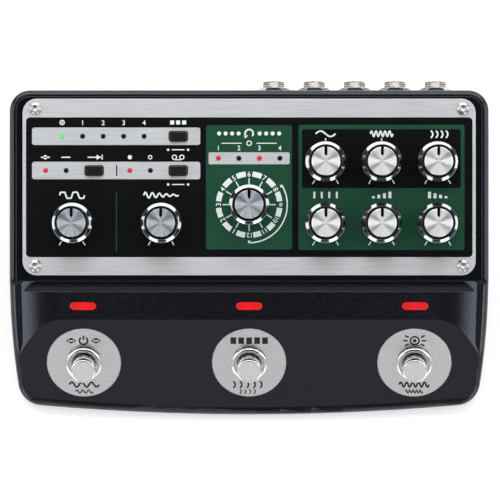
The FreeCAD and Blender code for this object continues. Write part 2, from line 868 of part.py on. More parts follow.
def make_control_plate():
    """Aluminium sheet with rounded corners and a hole for each control."""
    plate = rounded_plate(plate_length, plate_depth, plate_corner_r, 0, plate_thick)
    plate = soften_top(plate, plate_thick, plate_edge_r)
    cuts = [rod(shaft_r + shaft_hole_gap, -1, 2, x, y) for x, y in knob_spots.values()]
    cuts += [button_hole(x, y, -1, 2) for x, y in button_spots.values()]
    cuts += [rod(led_r + led_gap, -1, 2, x, y) for x, y in red_led_spots + [green_led_spot]]
    cuts += [rod(plate_screw_r + clear_hole_gap, -1, 2, x, y) for x, y in plate_screw_spots]
    return placed(plate.cut(cuts), deck_place)


def make_plate_screws():
    """Four domed screws with a hexagon socket, whose floor keeps the cone of its drill."""
    rise = plate_screw_head_h - plate_screw_rim
    ball_r = (plate_screw_head_r**2 + rise**2) / (2 * rise)
    ball = Part.makeSphere(ball_r, Vector(0, 0, plate_screw_head_h - ball_r))
    head = rod(plate_screw_head_r, 0, plate_screw_head_h).common(ball)
    piece = head.fuse(rod(plate_screw_r, -plate_screw_length, 0)).removeSplitter()
    low = plate_screw_head_h - plate_screw_socket_depth
    drill = turned([(0, low - plate_screw_drill_depth), (plate_screw_socket / 2, low), (0, low)])
    piece = piece.cut([hexagon(plate_screw_socket, low, plate_screw_head_h + 1), drill])
    piece.translate(Vector(0, 0, plate_thick))
    return [placed(piece, deck_place, x, y) for x, y in plate_screw_spots]


def shaft_section(radius, flat, low, high):
    """Round rod with one flat."""
    piece = rod(radius, low, high)
    return piece.cut(block(4 * radius, 2 * radius, low - 1, high + 1, 0, -flat - radius))


def make_knob():
    """Turned body with a flared skirt, a seat for the inlay and a bore for the shaft."""
    base = plate_thick + knob_gap
    top = base + knob_height
    shoulder = top - ring_drop
    seat = top - cap_thick
    flare = base + skirt_edge_h + skirt_flare_h
    points = [
        (0, base),
        (skirt_r, base),
        (skirt_r, base + skirt_edge_h),
        (knob_r + skirt_bend_out, base + skirt_edge_h + skirt_bend_h),
        (knob_r, flare),
        (knob_top_r, shoulder),
        (cap_r + cap_gap, shoulder),
        (cap_r + cap_gap, seat),
        (0, seat),
    ]
    radii = [0, skirt_edge_r, skirt_edge_r, skirt_bend_r, 0, knob_edge_r, 0, 0, 0]
    body = turned(points, radii)
    bore_top = plate_thick + shaft_in_knob + shaft_gap
    bore = shaft_section(shaft_r + shaft_gap, shaft_flat + shaft_gap, base - 1, bore_top)
    return body.cut(bore)


def make_cap():
    """Aluminium inlay with a slot for the pointer."""
    top = plate_thick + knob_gap + knob_height
    seat = top - cap_thick
    points = [(0, seat), (cap_r, seat), (cap_r, top - cap_edge), (cap_r - cap_edge, top), (0, top)]
    disc = turned(points)
    half = pointer_width / 2
    inner = cap_r - pointer_length + half
    slot = block(pointer_width, cap_r, seat - 1, top + 1, 0, inner + cap_r / 2)
    slot = slot.fuse(rod(half, seat - 1, top + 1, 0, inner)).removeSplitter()
    return disc.cut(slot)


def make_shaft():
    """Control shaft, round in its bearing and flatted in the knob."""
    low = deck_under - shaft_depth
    middle = plate_thick + knob_gap / 2
    top = plate_thick + shaft_in_knob
    piece = rod(shaft_r, low, middle).fuse(shaft_section(shaft_r, shaft_flat, middle, top))
    return piece.removeSplitter()


def make_control(spindle_box):
    """Body of a rotary control under the deck, with the bore that its shaft turns in."""
    low = deck_under - shaft_depth - pot_bore_gap
    return spindle_box.cut(rod(shaft_r + pot_bore_gap, low, 1))


def make_button():
    """Push button with a bevelled top, a flange under the deck and a stem to its switch."""
    top = plate_thick + button_rise
    flange_top = deck_under - button_flange_gap
    flange_low = flange_top - button_flange_h
    stem_low = board_top + tact_height + button_travel + button_spare
    cap = rounded_plate(button_length, button_width, button_corner_r, flange_low, top)
    cap = soften_top(cap, top, button_bevel)
    flange_length = button_length + 2 * button_flange
    flange = block(flange_length, button_width + 2 * button_flange, flange_low, flange_top)
    stem = rod(button_stem_r, stem_low, flange_low)
    return cap.fuse([flange, stem]).removeSplitter()


def make_led():
    """Round light with a domed end, from the control board to just above the plate."""
    top = plate_thick + led_rise
    points = [(0, board_top), (led_r, board_top), (led_r, top), (0, top)]
    return turned(points, [0, 0, led_r / 2, 0])


def make_lamp():
    """Bar lens with a flange behind the band."""
    lens = soften_top(bar(lamp_length, lamp_width, -wall, lamp_rise), lamp_rise, lamp_edge_r)
    flange = block(lamp_length + 2 * lamp_flange, lamp_width + 2 * lamp_flange, -wall - lamp_flange, -wall)
    return lens.fuse(flange).removeSplitter()


def make_housing():
    """Footswitch body below the case with its bush through it, whose mouth opens like a funnel."""
    top = foot_plate_thick + bush_rise
    low = -wall - housing_depth
    points = [(0, low), (housing_r, low), (housing_r, -wall)]
    points += [(bush_r, -wall), (bush_r, top), (0, top)]
    body = turned(points)
    bore_r = neck_r + neck_gap
    mouth_low = top - bush_mouth_depth
    bore = rod(bore_r, -bush_shoulder - 1, top + 1)
    mouth = turned([(0, mouth_low), (bore_r, mouth_low), (bush_mouth_r, top), (0, top)])
    chamber = rod(chamber_r, low + housing_floor, -bush_shoulder)
    return body.cut([bore, mouth, chamber])


def make_plunger():
    """Footswitch plunger: wide cap, narrower neck and the flange that holds it in."""
    under = foot_plate_thick + collar_height + plunger_spare + plunger_travel
    top = under + plunger_length
    flange_top = -bush_shoulder - plunger_play
    flange_low = flange_top - plunger_flange_h
    points = [
        (0, flange_low),
        (plunger_flange_r, flange_low),
        (plunger_flange_r, flange_top),
        (neck_r, flange_top),
        (neck_r, under),
        (plunger_r, under),
        (plunger_r, top),
        (0, top),
    ]
    return turned(points, [0, 0, 0, 0, 0, plunger_under_r, plunger_edge_r, 0])


def biarc(start, way, end, end_way):
    """Two arcs in space that leave the start and reach the end in given directions and meet smoothly."""
    span = end - start
    bend = 2 * (1 - way.dot(end_way))
    along = span.dot(way + end_way)
    arm = (math.sqrt(along**2 + bend * span.dot(span)) - along) / bend
    first = start + way * arm
    second = end - end_way * arm
    joint = (first + second) / 2
    arcs = []
    for tail, corner, head in ((start, first, joint), (joint, second, end)):
        chord = head - tail
        half_turn = (corner - tail).getAngle(chord)
        middle = (tail + head) / 2
        outward = (corner - middle).normalize()
        top = middle + outward * (chord.Length / 2 * math.tan(half_turn / 2))
        arcs.append(Part.Arc(tail, top, head).toShape())
    return arcs


def make_spring():
    """Return spring between the floor of the housing and the flange of the plunger."""
    low = -wall - housing_depth + housing_floor + spring_wire_r + plunger_play
    high = -bush_shoulder - plunger_play - plunger_flange_h - spring_wire_r - plunger_play
    count = 4 * spring_turns
    climb = (high - low) / (2 * math.pi * spring_turns)
    spots = []
    ways = []
    for step in range(count + 1):
        turn = math.pi / 2 * step
        spots.append(Vector(math.cos(turn), math.sin(turn), 0) * spring_r)
        spots[-1].z = low + (high - low) * step / count
        way = Vector(-math.sin(turn), math.cos(turn), 0) * spring_r
        way.z = climb
        ways.append(way.normalize())
    edges = []
    for step in range(count):
        edges += biarc(spots[step], ways[step], spots[step + 1], ways[step + 1])
    section = Part.Wire(Part.makeCircle(spring_wire_r, spots[0], ways[0]))
    return Part.Wire(edges).makePipeShell([section], True, False)


def make_collar():
    """Round dress nut that holds a footswitch and its plate."""
    low = foot_plate_thick
    top = low + collar_height
    points = [
        (bush_r + nut_gap, low),
        (collar_r, low),
        (collar_r, top),
        (bush_r + nut_gap, top),
    ]
    return turned(points, [0, 0, collar_edge_r, collar_inner_edge_r])


def make_foot_plate():
    """Round steel washer plate under the collar."""
    points = [
        (bush_r + clear_hole_gap, 0),
        (foot_plate_r, 0),
        (foot_plate_r, foot_plate_thick - foot_plate_edge),
        (foot_plate_r - foot_plate_edge, foot_plate_thick),
        (bush_r + clear_hole_gap, foot_plate_thick),
    ]
    return turned(points)


def make_jacks():
    """Jack bodies, bushes and nuts in line along the rear wall."""
    bodies = []
    bushes = []
    nuts = []
    tip = rear_y + jack_reach
    body_front = inner_rear_y - jack_body_length
    for x in jack_spots:
        middle = inner_rear_y - jack_body_length / 2
        high = main_board_top + jack_body_height
        box = block(jack_body_width, jack_body_length, main_board_top, high, x, middle)
        bodies.append(box.cut(rod_y(jack_bore_r, body_front + jack_end_wall, inner_rear_y + 1, x, jack_z)))
        bush = turned([
            (jack_bore_r, inner_rear_y),
            (jack_bush_r, inner_rear_y),
            (jack_bush_r, tip - jack_mouth),
            (jack_bush_r - jack_mouth, tip),
            (jack_bore_r + jack_mouth, tip),
            (jack_bore_r, tip - jack_mouth),
        ])
        bushes.append(lay_back(bush, x, jack_z))
        nut = hexagon(nut_across_flats, 0, nut_thick)
        corner_r = nut_across_flats / math.sqrt(3)
        cone = turned([
            (0, 0),
            (corner_r, 0),
            (corner_r, nut_thick - nut_chamfer),
            (nut_across_flats / 2, nut_thick),
            (0, nut_thick),
        ])
        nut = nut.common(cone).cut(rod(jack_bush_r + nut_gap, -1, nut_thick + 1))
        nut.translate(Vector(0, 0, rear_y))
        nuts.append(lay_back(nut, x, jack_z))
    return bodies, bushes, nuts


def lay_back(shape, x, z):
    """Turn a piece whose axis is Z so that it points to the back, at x and height z."""
    copy = shape.copy()
    copy.Placement = Placement(Vector(x, 0, z), Rotation(Vector(1, 0, 0), -90)).multiply(copy.Placement)
    return copy


def make_mini_jacks():
    """Small jacks, flush with the rear wall."""
    solids = []
    for x in mini_spots:
        middle = inner_rear_y - mini_body_length / 2
        high = main_board_top + mini_body_height
        box = block(mini_body_width, mini_body_length, main_board_top, high, x, middle)
        piece = box.fuse(rod_y(mini_bush_r, inner_rear_y - 1, rear_y, x, mini_z)).removeSplitter()
        front = inner_rear_y - mini_body_length + jack_end_wall
        solids.append(piece.cut(rod_y(mini_bore_r, front, rear_y + 1, x, mini_z)))
    return solids


def make_usb():
    """Thin metal socket shell with its tongue."""
    outer_y = rear_y - usb_setback
    middle = outer_y - usb_length / 2
    shell = block(usb_width, usb_length, main_board_top, main_board_top + usb_height, usb_x, middle)
    hollow_w = usb_width - 2 * usb_skin
    hollow_h = usb_height / 2 - usb_skin
    hollow = block(hollow_w, usb_length, usb_z - hollow_h, usb_z + hollow_h, usb_x, middle + 2 * usb_skin)
    tongue = block(hollow_w / 2, usb_length, usb_z - usb_skin, usb_z + usb_skin, usb_x, middle - usb_skin)
    return shell.cut(hollow).fuse(tongue.common(shell)).removeSplitter()


def make_dc_socket():
    """Power inlet: a block with a round well and a centre pin."""
    middle = rear_y - dc_length / 2
    box = block(dc_width, dc_length, main_board_top, main_board_top + dc_height, dc_x, middle)
    box = box.cut(rod_y(dc_bore_r, rear_y - dc_bore_depth, rear_y + 1, dc_x, dc_z))
    pin = rod_y(dc_pin_r, rear_y - dc_bore_depth - 1, rear_y - dc_pin_setback, dc_x, dc_z)
    return box.fuse(pin).removeSplitter()


def make_control_board():
    """Circuit board under the deck."""
    middle = (control_board_rear + control_board_front) / 2
    across = control_board_rear - control_board_front
    board = block(2 * control_board_half, across, board_top - board_thick, board_top, 0, middle)
    hole_r = screw_r + clear_hole_gap
    low = board_top - board_thick
    cuts = [rod(hole_r, low - 1, board_top + 1, x, y) for x, y in board_post_spots]
    return placed(board.cut(cuts), deck_place)


def make_main_board():
    """Circuit board on the cover's pillars, with its larger parts on top."""
    middle = (main_board_rear_y + main_board_front_y) / 2
    board = block(2 * main_board_half, main_board_length, main_board_z, main_board_top, 0, middle)
    hole_r = screw_r + clear_hole_gap
    cuts = [rod(hole_r, main_board_z - 1, main_board_top + 1, x, y) for x, y in pillar_spots]
    chip_top = main_board_top + chip_height
    chips = [block(chip_size, chip_size, main_board_top, chip_top, chip_x, chip_y)]
    chips.append(block(memory_chip_size, memory_chip_size, main_board_top, chip_top, chip_x, memory_chip_y))
    cans = []
    for step in range(capacitor_count):
        x = capacitor_x + capacitor_pitch * step
        cans.append(rod(capacitor_r, main_board_top, main_board_top + capacitor_height, x, memory_chip_y))
    return [board.cut(cuts)] + chips + cans


def make_ribbon():
    """Flat cable between the boards with a plug at each end."""
    under = deck_place.multVec(Vector(0, ribbon_top_y - deck_middle.y, board_top - board_thick))
    high = under.z - header_height
    low = main_board_top + header_height
    half = ribbon_thick / 2
    level = (high + low) / 2
    points = [
        Vector(0, under.y + half, high),
        Vector(0, under.y + half, level - half),
        Vector(0, ribbon_bottom_y + half, level - half),
        Vector(0, ribbon_bottom_y + half, low),
        Vector(0, ribbon_bottom_y - half, low),
        Vector(0, ribbon_bottom_y - half, level + half),
        Vector(0, under.y - half, level + half),
        Vector(0, under.y - half, high),
    ]
    tight = ribbon_bend
    wide = ribbon_bend + ribbon_thick
    face = Part.Face(rounded(points, [0, wide, tight, 0, 0, wide, tight, 0]))
    face.translate(Vector(ribbon_x - ribbon_width / 2, 0, 0))
    cable = face.extrude(Vector(ribbon_width, 0, 0))
    upper = block(header_length, header_width, high, under.z + 2, ribbon_x, under.y)
    upper = upper.cut(make_control_board())
    upper = min(upper.Solids, key=lambda solid: solid.CenterOfMass.z)
    lower = block(header_length, header_width, main_board_top, low, ribbon_x, ribbon_bottom_y)
    return [cable, upper, lower]


# Case
save("top_case", make_top_case())
save("bottom_cover", make_bottom_cover())
save("case_screws", *make_screws())
save("rubber_feet", *make_rubber_feet())

# Control plate and its lights
save("control_plate", make_control_plate())
save("plate_screws", *make_plate_screws())
led = make_led()
save("green_led", placed(led, deck_place, *green_led_spot))
save("red_leds", *[placed(led, deck_place, x, y) for x, y in red_led_spots])

# Rotary controls
knob = make_knob()
cap = make_cap()
shaft = make_shaft()
for name, (x, y) in knob_spots.items():
    save(name + "_knob", placed(knob, deck_place, x, y))
    save(name + "_knob_cap", placed(cap, deck_place, x, y))
    save(name + "_shaft", placed(shaft, deck_place, x, y))
pot = make_control(block(pot_length, pot_width, board_top, board_top + pot_height))
pots = [placed(pot, deck_place, x, y) for name, (x, y) in knob_spots.items() if name != "mode"]
save("potentiometers", *pots)
selector = make_control(block(selector_size, selector_size, board_top, board_top + pot_height))
save("selector_switch", placed(selector, deck_place, *knob_spots["mode"]))

# Push buttons
button = make_button()
tact = block(tact_size, tact_size, board_top, board_top + tact_height)
for name, (x, y) in button_spots.items():
    save(name + "_button", placed(button, deck_place, x, y))
save("tact_switches", *[placed(tact, deck_place, x, y) for x, y in button_spots.values()])

# Footswitches and the lamps above them
plunger = make_plunger()
spring = make_spring()
for name, x in foot_spots.items():
    save(name + "_footswitch_plunger", placed(plunger, foot_place, x))
    save(name + "_footswitch_spring", placed(spring, foot_place, x))
save("footswitch_housings", *[placed(make_housing(), foot_place, x) for x in foot_spots.values()])
save("footswitch_collars", *[placed(make_collar(), foot_place, x) for x in foot_spots.values()])
save("footswitch_plates", *[placed(make_foot_plate(), foot_place, x) for x in foot_spots.values()])
save("status_lenses", *[placed(make_lamp(), band_place, x) for x in foot_spots.values()])

# Rear sockets
jack_bodies, jack_bushes, jack_nuts = make_jacks()
save("jack_bodies", *jack_bodies)
save("jack_bushes", *jack_bushes)
save("jack_nuts", *jack_nuts)
save("mini_jacks", *make_mini_jacks())
save("usb_socket", make_usb())
save("dc_socket", make_dc_socket())

# Boards
save("control_board", make_control_board())
save("main_board", *make_main_board())
save("ribbon_cable", *make_ribbon())
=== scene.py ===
import json
import math

import bpy
import numpy as np
from mathutils import Matrix, Vector


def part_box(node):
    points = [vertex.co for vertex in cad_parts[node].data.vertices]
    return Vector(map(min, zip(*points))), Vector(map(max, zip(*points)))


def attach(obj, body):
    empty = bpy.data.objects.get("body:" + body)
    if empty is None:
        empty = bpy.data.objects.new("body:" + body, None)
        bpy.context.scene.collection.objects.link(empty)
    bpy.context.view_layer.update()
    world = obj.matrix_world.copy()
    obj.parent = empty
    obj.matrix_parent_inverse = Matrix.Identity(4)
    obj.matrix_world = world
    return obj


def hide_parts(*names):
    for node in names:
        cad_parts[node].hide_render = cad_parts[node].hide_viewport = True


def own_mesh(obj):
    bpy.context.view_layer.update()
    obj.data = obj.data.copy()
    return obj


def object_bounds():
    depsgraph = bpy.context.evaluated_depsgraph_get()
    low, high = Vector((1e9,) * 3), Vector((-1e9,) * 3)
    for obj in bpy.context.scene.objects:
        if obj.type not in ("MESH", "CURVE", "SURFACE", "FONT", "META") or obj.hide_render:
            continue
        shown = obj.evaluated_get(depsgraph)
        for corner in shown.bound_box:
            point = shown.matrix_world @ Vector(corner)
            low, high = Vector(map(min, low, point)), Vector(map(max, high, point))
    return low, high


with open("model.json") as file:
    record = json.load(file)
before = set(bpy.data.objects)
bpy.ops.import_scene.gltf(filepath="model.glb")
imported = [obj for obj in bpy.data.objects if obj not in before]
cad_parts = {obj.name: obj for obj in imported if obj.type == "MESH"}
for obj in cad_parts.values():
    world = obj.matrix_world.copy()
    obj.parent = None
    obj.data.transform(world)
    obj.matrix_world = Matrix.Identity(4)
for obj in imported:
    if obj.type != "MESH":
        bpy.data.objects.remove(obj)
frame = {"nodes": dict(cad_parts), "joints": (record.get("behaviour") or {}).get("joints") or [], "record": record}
cad_low, cad_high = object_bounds()


# The camera
# It hangs square above the sloped deck, almost two metres away, as for a catalogue picture,
# so the deck shows without slant and the foot area in front of it is seen at an angle.

MM = 0.001
nodes = frame["nodes"]
joints = {joint["name"]: joint for joint in frame["joints"]}


def places(mesh):
    """The places of a mesh's vertices, one row of x, y and z for each."""
    flat = np.empty(len(mesh.vertices) * 3)
    mesh.vertices.foreach_get("co", flat)
    return flat.reshape(-1, 3)


def reach(node, direction):
    """How far a CAD node extends along a direction: the largest dot product of its points with it."""
    return float((places(nodes[node].data) @ np.array(direction)).max())


def at_level(spot, normal, level):
    """The spot moved along a normal until it stands at a level, which is measured along that normal."""
    return spot + normal * (level - spot.dot(normal))


def tilted(spot, normal):
    """Matrix whose Z is a surface's normal and whose X runs to the right, with its origin on the spot."""
    up = Vector(normal).normalized()
    right = Vector((1.0, 0.0, 0.0))
    return Matrix.Translation(spot) @ Matrix((right, up.cross(right), up)).transposed().to_4x4()


deck_normal = Vector(joints["mode_turn"]["axis"])
plate_low, plate_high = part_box("control_plate")
plate_middle = (plate_low + plate_high) / 2
plate_level = reach("control_plate", deck_normal)
deck = tilted(at_level(plate_middle, deck_normal, plate_level), deck_normal)

camera_distance = 1.9
seen_width = 200 * MM
sensor_width = 36.0
aim_right = 0.35 * MM
aim_down = 25.2 * MM
camera = bpy.data.objects.new("camera", bpy.data.cameras.new("camera"))
camera.data.sensor_width = sensor_width
camera.data.lens = sensor_width * camera_distance / seen_width
camera.data.clip_end = 20.0
camera.matrix_world = deck @ Matrix.Translation((aim_right, -aim_down, camera_distance))
bpy.context.scene.collection.objects.link(camera)
bpy.context.scene.camera = camera
bpy.context.scene.view_settings.view_transform = "Standard"


# Light, floor and surroundings
# Soft boxes stand round the table with dark gaps between them, wide ones in front and behind, and
# the ceiling is dark, so glossy black stays black from above while turned metal catches the boxes.

scene_middle = (cad_low + cad_high) / 2
lamp_distance = 1.5


def softbox(name, azimuth, elevation, width, height, watts):
    """An area lamp at an azimuth (0 in front, 90 to the right) and an elevation, facing the object."""
    around = math.radians(azimuth)
    above = math.radians(elevation)
    level = math.cos(above)
    outward = Vector((math.sin(around) * level, -math.cos(around) * level, math.sin(above)))
    lamp = bpy.data.lights.new(name, "AREA")
    lamp.shape = "RECTANGLE"
    lamp.size = width
    lamp.size_y = height
    lamp.energy = watts
    box = bpy.data.objects.new(name, lamp)
    box.location = scene_middle + outward * lamp_distance
    box.rotation_euler = outward.to_track_quat("Z", "Y").to_euler()
    bpy.context.scene.collection.objects.link(box)


# The two low boxes draw the light lines along the case's front edge and its two shoulders.
softbox("front_box", azimuth=0, elevation=40, width=3.1, height=0.42, watts=3.1)
softbox("rear_box", azimuth=180, elevation=38, width=2.9, height=1.5, watts=44)
for side in (-1, 1):
    softbox("side_box", azimuth=side * 90, elevation=34, width=1.0, height=1.5, watts=12)
    softbox("low_box", azimuth=side * 27, elevation=17, width=0.69, height=0.42, watts=3.6)


def linear(code):
    """Linear red, green, blue and alpha of an sRGB colour written as six hexadecimal digits."""
    channels = np.array([int(code[i:i + 2], 16) for i in (0, 2, 4)]) / 255
    low = channels / 12.92
    high = ((channels + 0.055) / 1.055) ** 2.4
    return (*np.where(channels <= 0.04045, low, high).tolist(), 1.0)


def add(tree, kind, inputs=None, **settings):
    """A new shader node. Each input is a value, or the (node, output) that feeds it."""
    node = tree.nodes.new("ShaderNode" + kind)
    for name, value in settings.items():
        setattr(node, name, value)
    for socket, value in (inputs or {}).items():
        if isinstance(value, tuple) and isinstance(value[0], bpy.types.Node):
            tree.links.new(value[0].outputs[value[1]], node.inputs[socket])
        else:
            node.inputs[socket].default_value = value
    return node


# The ceiling is dark and the surroundings grow pale towards the horizon. The heights are those of
# the direction of sight, from 0 at the horizon to 1 overhead.
pale_height, dark_height, ceiling_light = 0.08, 0.3, 0.03
world = bpy.data.worlds.new("studio")
bpy.context.scene.world = world
world.use_nodes = True
tree = world.node_tree
tree.nodes.clear()
direction = add(tree, "TexCoord")
height = add(tree, "SeparateXYZ", {0: (direction, "Generated")})
fade = add(tree, "MapRange", {"Value": (height, "Z"), "From Min": pale_height, "From Max": dark_height,
                              "To Min": 1.0, "To Max": ceiling_light})
sky = add(tree, "Background", {"Color": linear("f4f6f8"), "Strength": (fade, "Result")})
add(tree, "OutputWorld", {"Surface": (sky, "Background")})

# The table is a pale laminate that turns white where the camera or a reflection sees it lit.
floor_half, floor_glow = 4.0, 0.35
mesh = bpy.data.meshes.new("floor")
corners = ((-1, -1), (1, -1), (1, 1), (-1, 1))
mesh.from_pydata([(x * floor_half, y * floor_half, cad_low.z) for x, y in corners], [], [(0, 1, 2, 3)])
floor = bpy.data.objects.new("floor", mesh)
bpy.context.scene.collection.objects.link(floor)
paper = bpy.data.materials.new("white_laminate")
paper.use_nodes = True
tree = paper.node_tree
tree.nodes.clear()
ray = add(tree, "LightPath")
seen = add(tree, "Math", {0: (ray, "Is Camera Ray"), 1: (ray, "Is Glossy Ray")}, operation="MAXIMUM")
lift = add(tree, "Math", {0: (seen, "Value"), 1: floor_glow}, operation="MULTIPLY")
glow = add(tree, "Emission", {"Strength": (lift, "Value")})
matt = add(tree, "BsdfDiffuse", {"Color": linear("e6e6e6")})
both = add(tree, "AddShader", {0: (matt, 0), 1: (glow, 0)})
add(tree, "OutputMaterial", {"Surface": (both, 0)})
mesh.materials.append(paper)


# Top case
# One die-cast shell with a sloped deck, a step and a scooped foot area, finished in a dark
# blue-grey polyester powder coat whose fine orange peel sparkles where light grazes it.

PER_MM = 1000.0
# Nearly all values of a noise lie between these two.
NOISE_LOW, NOISE_HIGH = 0.3, 0.7


def finish(name, **sockets):
    """A new material with one Principled shader, returned with its tree and that shader."""
    material = bpy.data.materials.new(name)
    material.use_nodes = True
    tree = material.node_tree
    tree.nodes.clear()
    shader = add(tree, "BsdfPrincipled", {key.replace("_", " "): value for key, value in sockets.items()})
    add(tree, "OutputMaterial", {"Surface": (shader, 0)})
    return material, tree, shader


def grained(name, dark, light, grain, rough, relief=0.0, stretch=(1, 1, 1), detail=2.0, **sockets):
    """A finish whose colour and gloss drift with a noise: grain and relief are in millimetres.

    Along each axis the grain is longer by that axis's stretch.
    """
    material, tree, shader = finish(name, **sockets)
    place = add(tree, "TexCoord")
    scale = [PER_MM / grain / longer for longer in stretch]
    spread = add(tree, "Mapping", {"Vector": (place, "Object"), "Scale": scale})
    noise = add(tree, "TexNoise", {"Vector": (spread, 0), "Scale": 1.0, "Detail": detail})
    tone = add(tree, "ValToRGB", {"Fac": (noise, 0)})
    tone.color_ramp.elements[0].position = NOISE_LOW
    tone.color_ramp.elements[0].color = linear(dark)
    tone.color_ramp.elements[1].position = NOISE_HIGH
    tone.color_ramp.elements[1].color = linear(light)
    gloss = add(tree, "MapRange", {"Value": (noise, 0), "From Min": NOISE_LOW, "From Max": NOISE_HIGH,
                                   "To Min": rough[0], "To Max": rough[1]})
    tree.links.new(tone.outputs["Color"], shader.inputs["Base Color"])
    tree.links.new(gloss.outputs[0], shader.inputs["Roughness"])
    if relief:
        bump = add(tree, "Bump", {"Height": (noise, 0), "Strength": 1.0, "Distance": relief * MM})
        tree.links.new(bump.outputs["Normal"], shader.inputs["Normal"])
    return material


def paint(node, *materials):
    """Gives a CAD node its finish, or several for its faces to choose from."""
    mesh = nodes[node].data
    mesh.materials.clear()
    for material in materials:
        mesh.materials.append(material)


# Baked polyester powder: orange peel gives its bluish gloss a fine sparkle. It is drawn 0.9 millimetres
# wide, twice its real width, so that it shows.
powder_coat = grained("polyester_powder_coat", "06080c", "0a0d13", 0.9, relief=0.035, rough=(0.17, 0.25),
                      Specular_Tint=linear("e2e8fa"))
paint("top_case", powder_coat)


# Bottom cover, its screws and the rubber feet
# A flat steel sheet in satin black paint closes the case from below. Zinc-plated pan head
# screws hold it, the same ones that hold both boards, and four moulded rubber feet carry it.

# Stoved satin paint is nearly even, with a faint waviness two millimetres long.
satin_paint = grained("stoved_satin_paint", "101113", "17181b", 2.0, relief=0.01, rough=(0.42, 0.5))
# Passivated zinc is bright grey with soft cloudy patches a millimetre across.
zinc_plate = grained("passivated_zinc_plate", "9ba1a8", "c3c7cb", 1.0, rough=(0.22, 0.42), Metallic=1.0)
# Moulded nitrile rubber is matt black with a fine grain.
rubber = grained("moulded_nitrile_rubber", "141414", "1f1f1f", 0.3, relief=0.02, rough=(0.8, 0.9))
paint("bottom_cover", satin_paint)
paint("case_screws", zinc_plate)
paint("rubber_feet", rubber)


# Control plate
# A one millimetre aluminium sheet, brushed from side to side and clear anodised, with rounded
# corners. What isn't printed stays bare: the border and the three strips round the lights.

# The brush leaves lines 0.15 millimetres wide and a hundred times as long.
brush_line, brush_stretch = 0.15, 100


def combed(material, axis, turn=0.0):
    """Stretches a metal's highlights across its scratches, which run along an axis or round it."""
    tree = material.node_tree
    shader = next(node for node in tree.nodes if node.type == "BSDF_PRINCIPLED")
    tangent = add(tree, "Tangent", direction_type="RADIAL", axis=axis)
    tree.links.new(tangent.outputs["Tangent"], shader.inputs["Tangent"])
    shader.inputs["Anisotropic Rotation"].default_value = turn
    return material


# Brushed aluminium shows hair-fine lines a centimetre or two long and a highlight drawn out
# across them; the anodised film makes it a little milky.
brushed_aluminium = grained("brushed_anodised_aluminium", "c1c4c7", "dfe1e3", brush_line, relief=0.0015,
                            rough=(0.46, 0.54), stretch=(brush_stretch, 1, 1), detail=3.0,
                            Metallic=0.8, Anisotropic=0.75)
paint("control_plate", combed(brushed_aluminium, "X"))


# Printed face of the control plate
# Screen-printed inks lie on the metal: semi-gloss black with openings for the bare strips, two
# green fields with rounded corners, and white marks. Holes in the ink clear every control.

# A film of ink is 0.02 millimetres thick, and a hole in it leaves a shaft 0.6 millimetres free.
ink_film, shaft_hole_r = 0.02, 3.6
knob_names = ("saturation", "flutter", "mode", "bass", "treble", "reverb", "rate", "intensity", "echo")
to_deck = deck.inverted()
knob_spots = {}
for name in knob_names:
    spot = to_deck @ Vector(joints[name + "_turn"]["pos_m"])
    knob_spots[name] = (spot.x * PER_MM, spot.y * PER_MM)


def rounded_box(x, y, wide, high, radius, steps=8):
    """Outline of a rectangle with rounded corners: four quarter circles about the corner centres."""
    turn = np.linspace(0, math.pi / 2, steps)
    quarters = []
    for quarter, (side_x, side_y) in enumerate(((1, 1), (-1, 1), (-1, -1), (1, -1))):
        angle = turn + quarter * math.pi / 2
        centre_x = x + side_x * (wide / 2 - radius)
        centre_y = y + side_y * (high / 2 - radius)
        quarters.append(np.stack((centre_x + radius * np.cos(angle), centre_y + radius * np.sin(angle)), 1))
    return np.concatenate(quarters)


def ring_part(x, y, inner, outer, start, end, steps=24):
    """Outline of a piece of a flat ring between two angles, clockwise from the top in degrees."""
    angle = np.radians(np.linspace(start, end, steps))
    edge = np.stack((np.sin(angle), np.cos(angle)), 1)
    return np.concatenate((edge * outer, edge[::-1] * inner)) + (x, y)


def disc(x, y, radius, steps=48):
    """Outline of a circle."""
    angle = np.linspace(0, 2 * math.pi, steps, endpoint=False)
    return np.stack((x + radius * np.cos(angle), y + radius * np.sin(angle)), 1)


def ring(x, y, radius, line):
    """Two outlines, one inside the other, that leave a circle drawn with a line of a given width."""
    return [disc(x, y, radius + line / 2), disc(x, y, radius - line / 2)]


def spoke(x, y, degrees, near, far, line):
    """Outline of a straight mark that points away from x, y at an angle, clockwise from the top."""
    angle = math.radians(degrees)
    away = np.array((math.sin(angle), math.cos(angle)))
    side = np.array((away[1], -away[0])) * line / 2
    return np.array((away * near - side, away * far - side, away * far + side, away * near + side)) + (x, y)


def bar(x, y, wide, high):
    """Outline of a rectangle centred on x, y."""
    return np.array(((-wide, -high), (wide, -high), (wide, high), (-wide, high))) / 2 + (x, y)


def wave(x, y, wide, high, cycles, line, clip=1.0, fade=0.0):
    """Outline of a sine line: its height may be clipped, or fade along its length."""
    along = np.linspace(0, 1, 24 * cycles + 1)
    level = np.clip(np.sin(2 * math.pi * cycles * along), -clip, clip) / clip * (1 - fade * along)
    middle = np.stack((x + wide * (along - 0.5), y + level * (high - line) / 2), 1)
    run = np.gradient(middle, axis=0)
    side = np.stack((-run[:, 1], run[:, 0]), 1) * line / 2 / np.hypot(run[:, :1], run[:, 1:])
    return np.concatenate((middle + side, (middle - side)[::-1]))


def meshed(curve):
    """The filled mesh of a flat curve or of a text."""
    holder = bpy.data.objects.new(curve.name, curve)
    mesh = bpy.data.meshes.new_from_object(holder)
    bpy.data.objects.remove(holder)
    return mesh


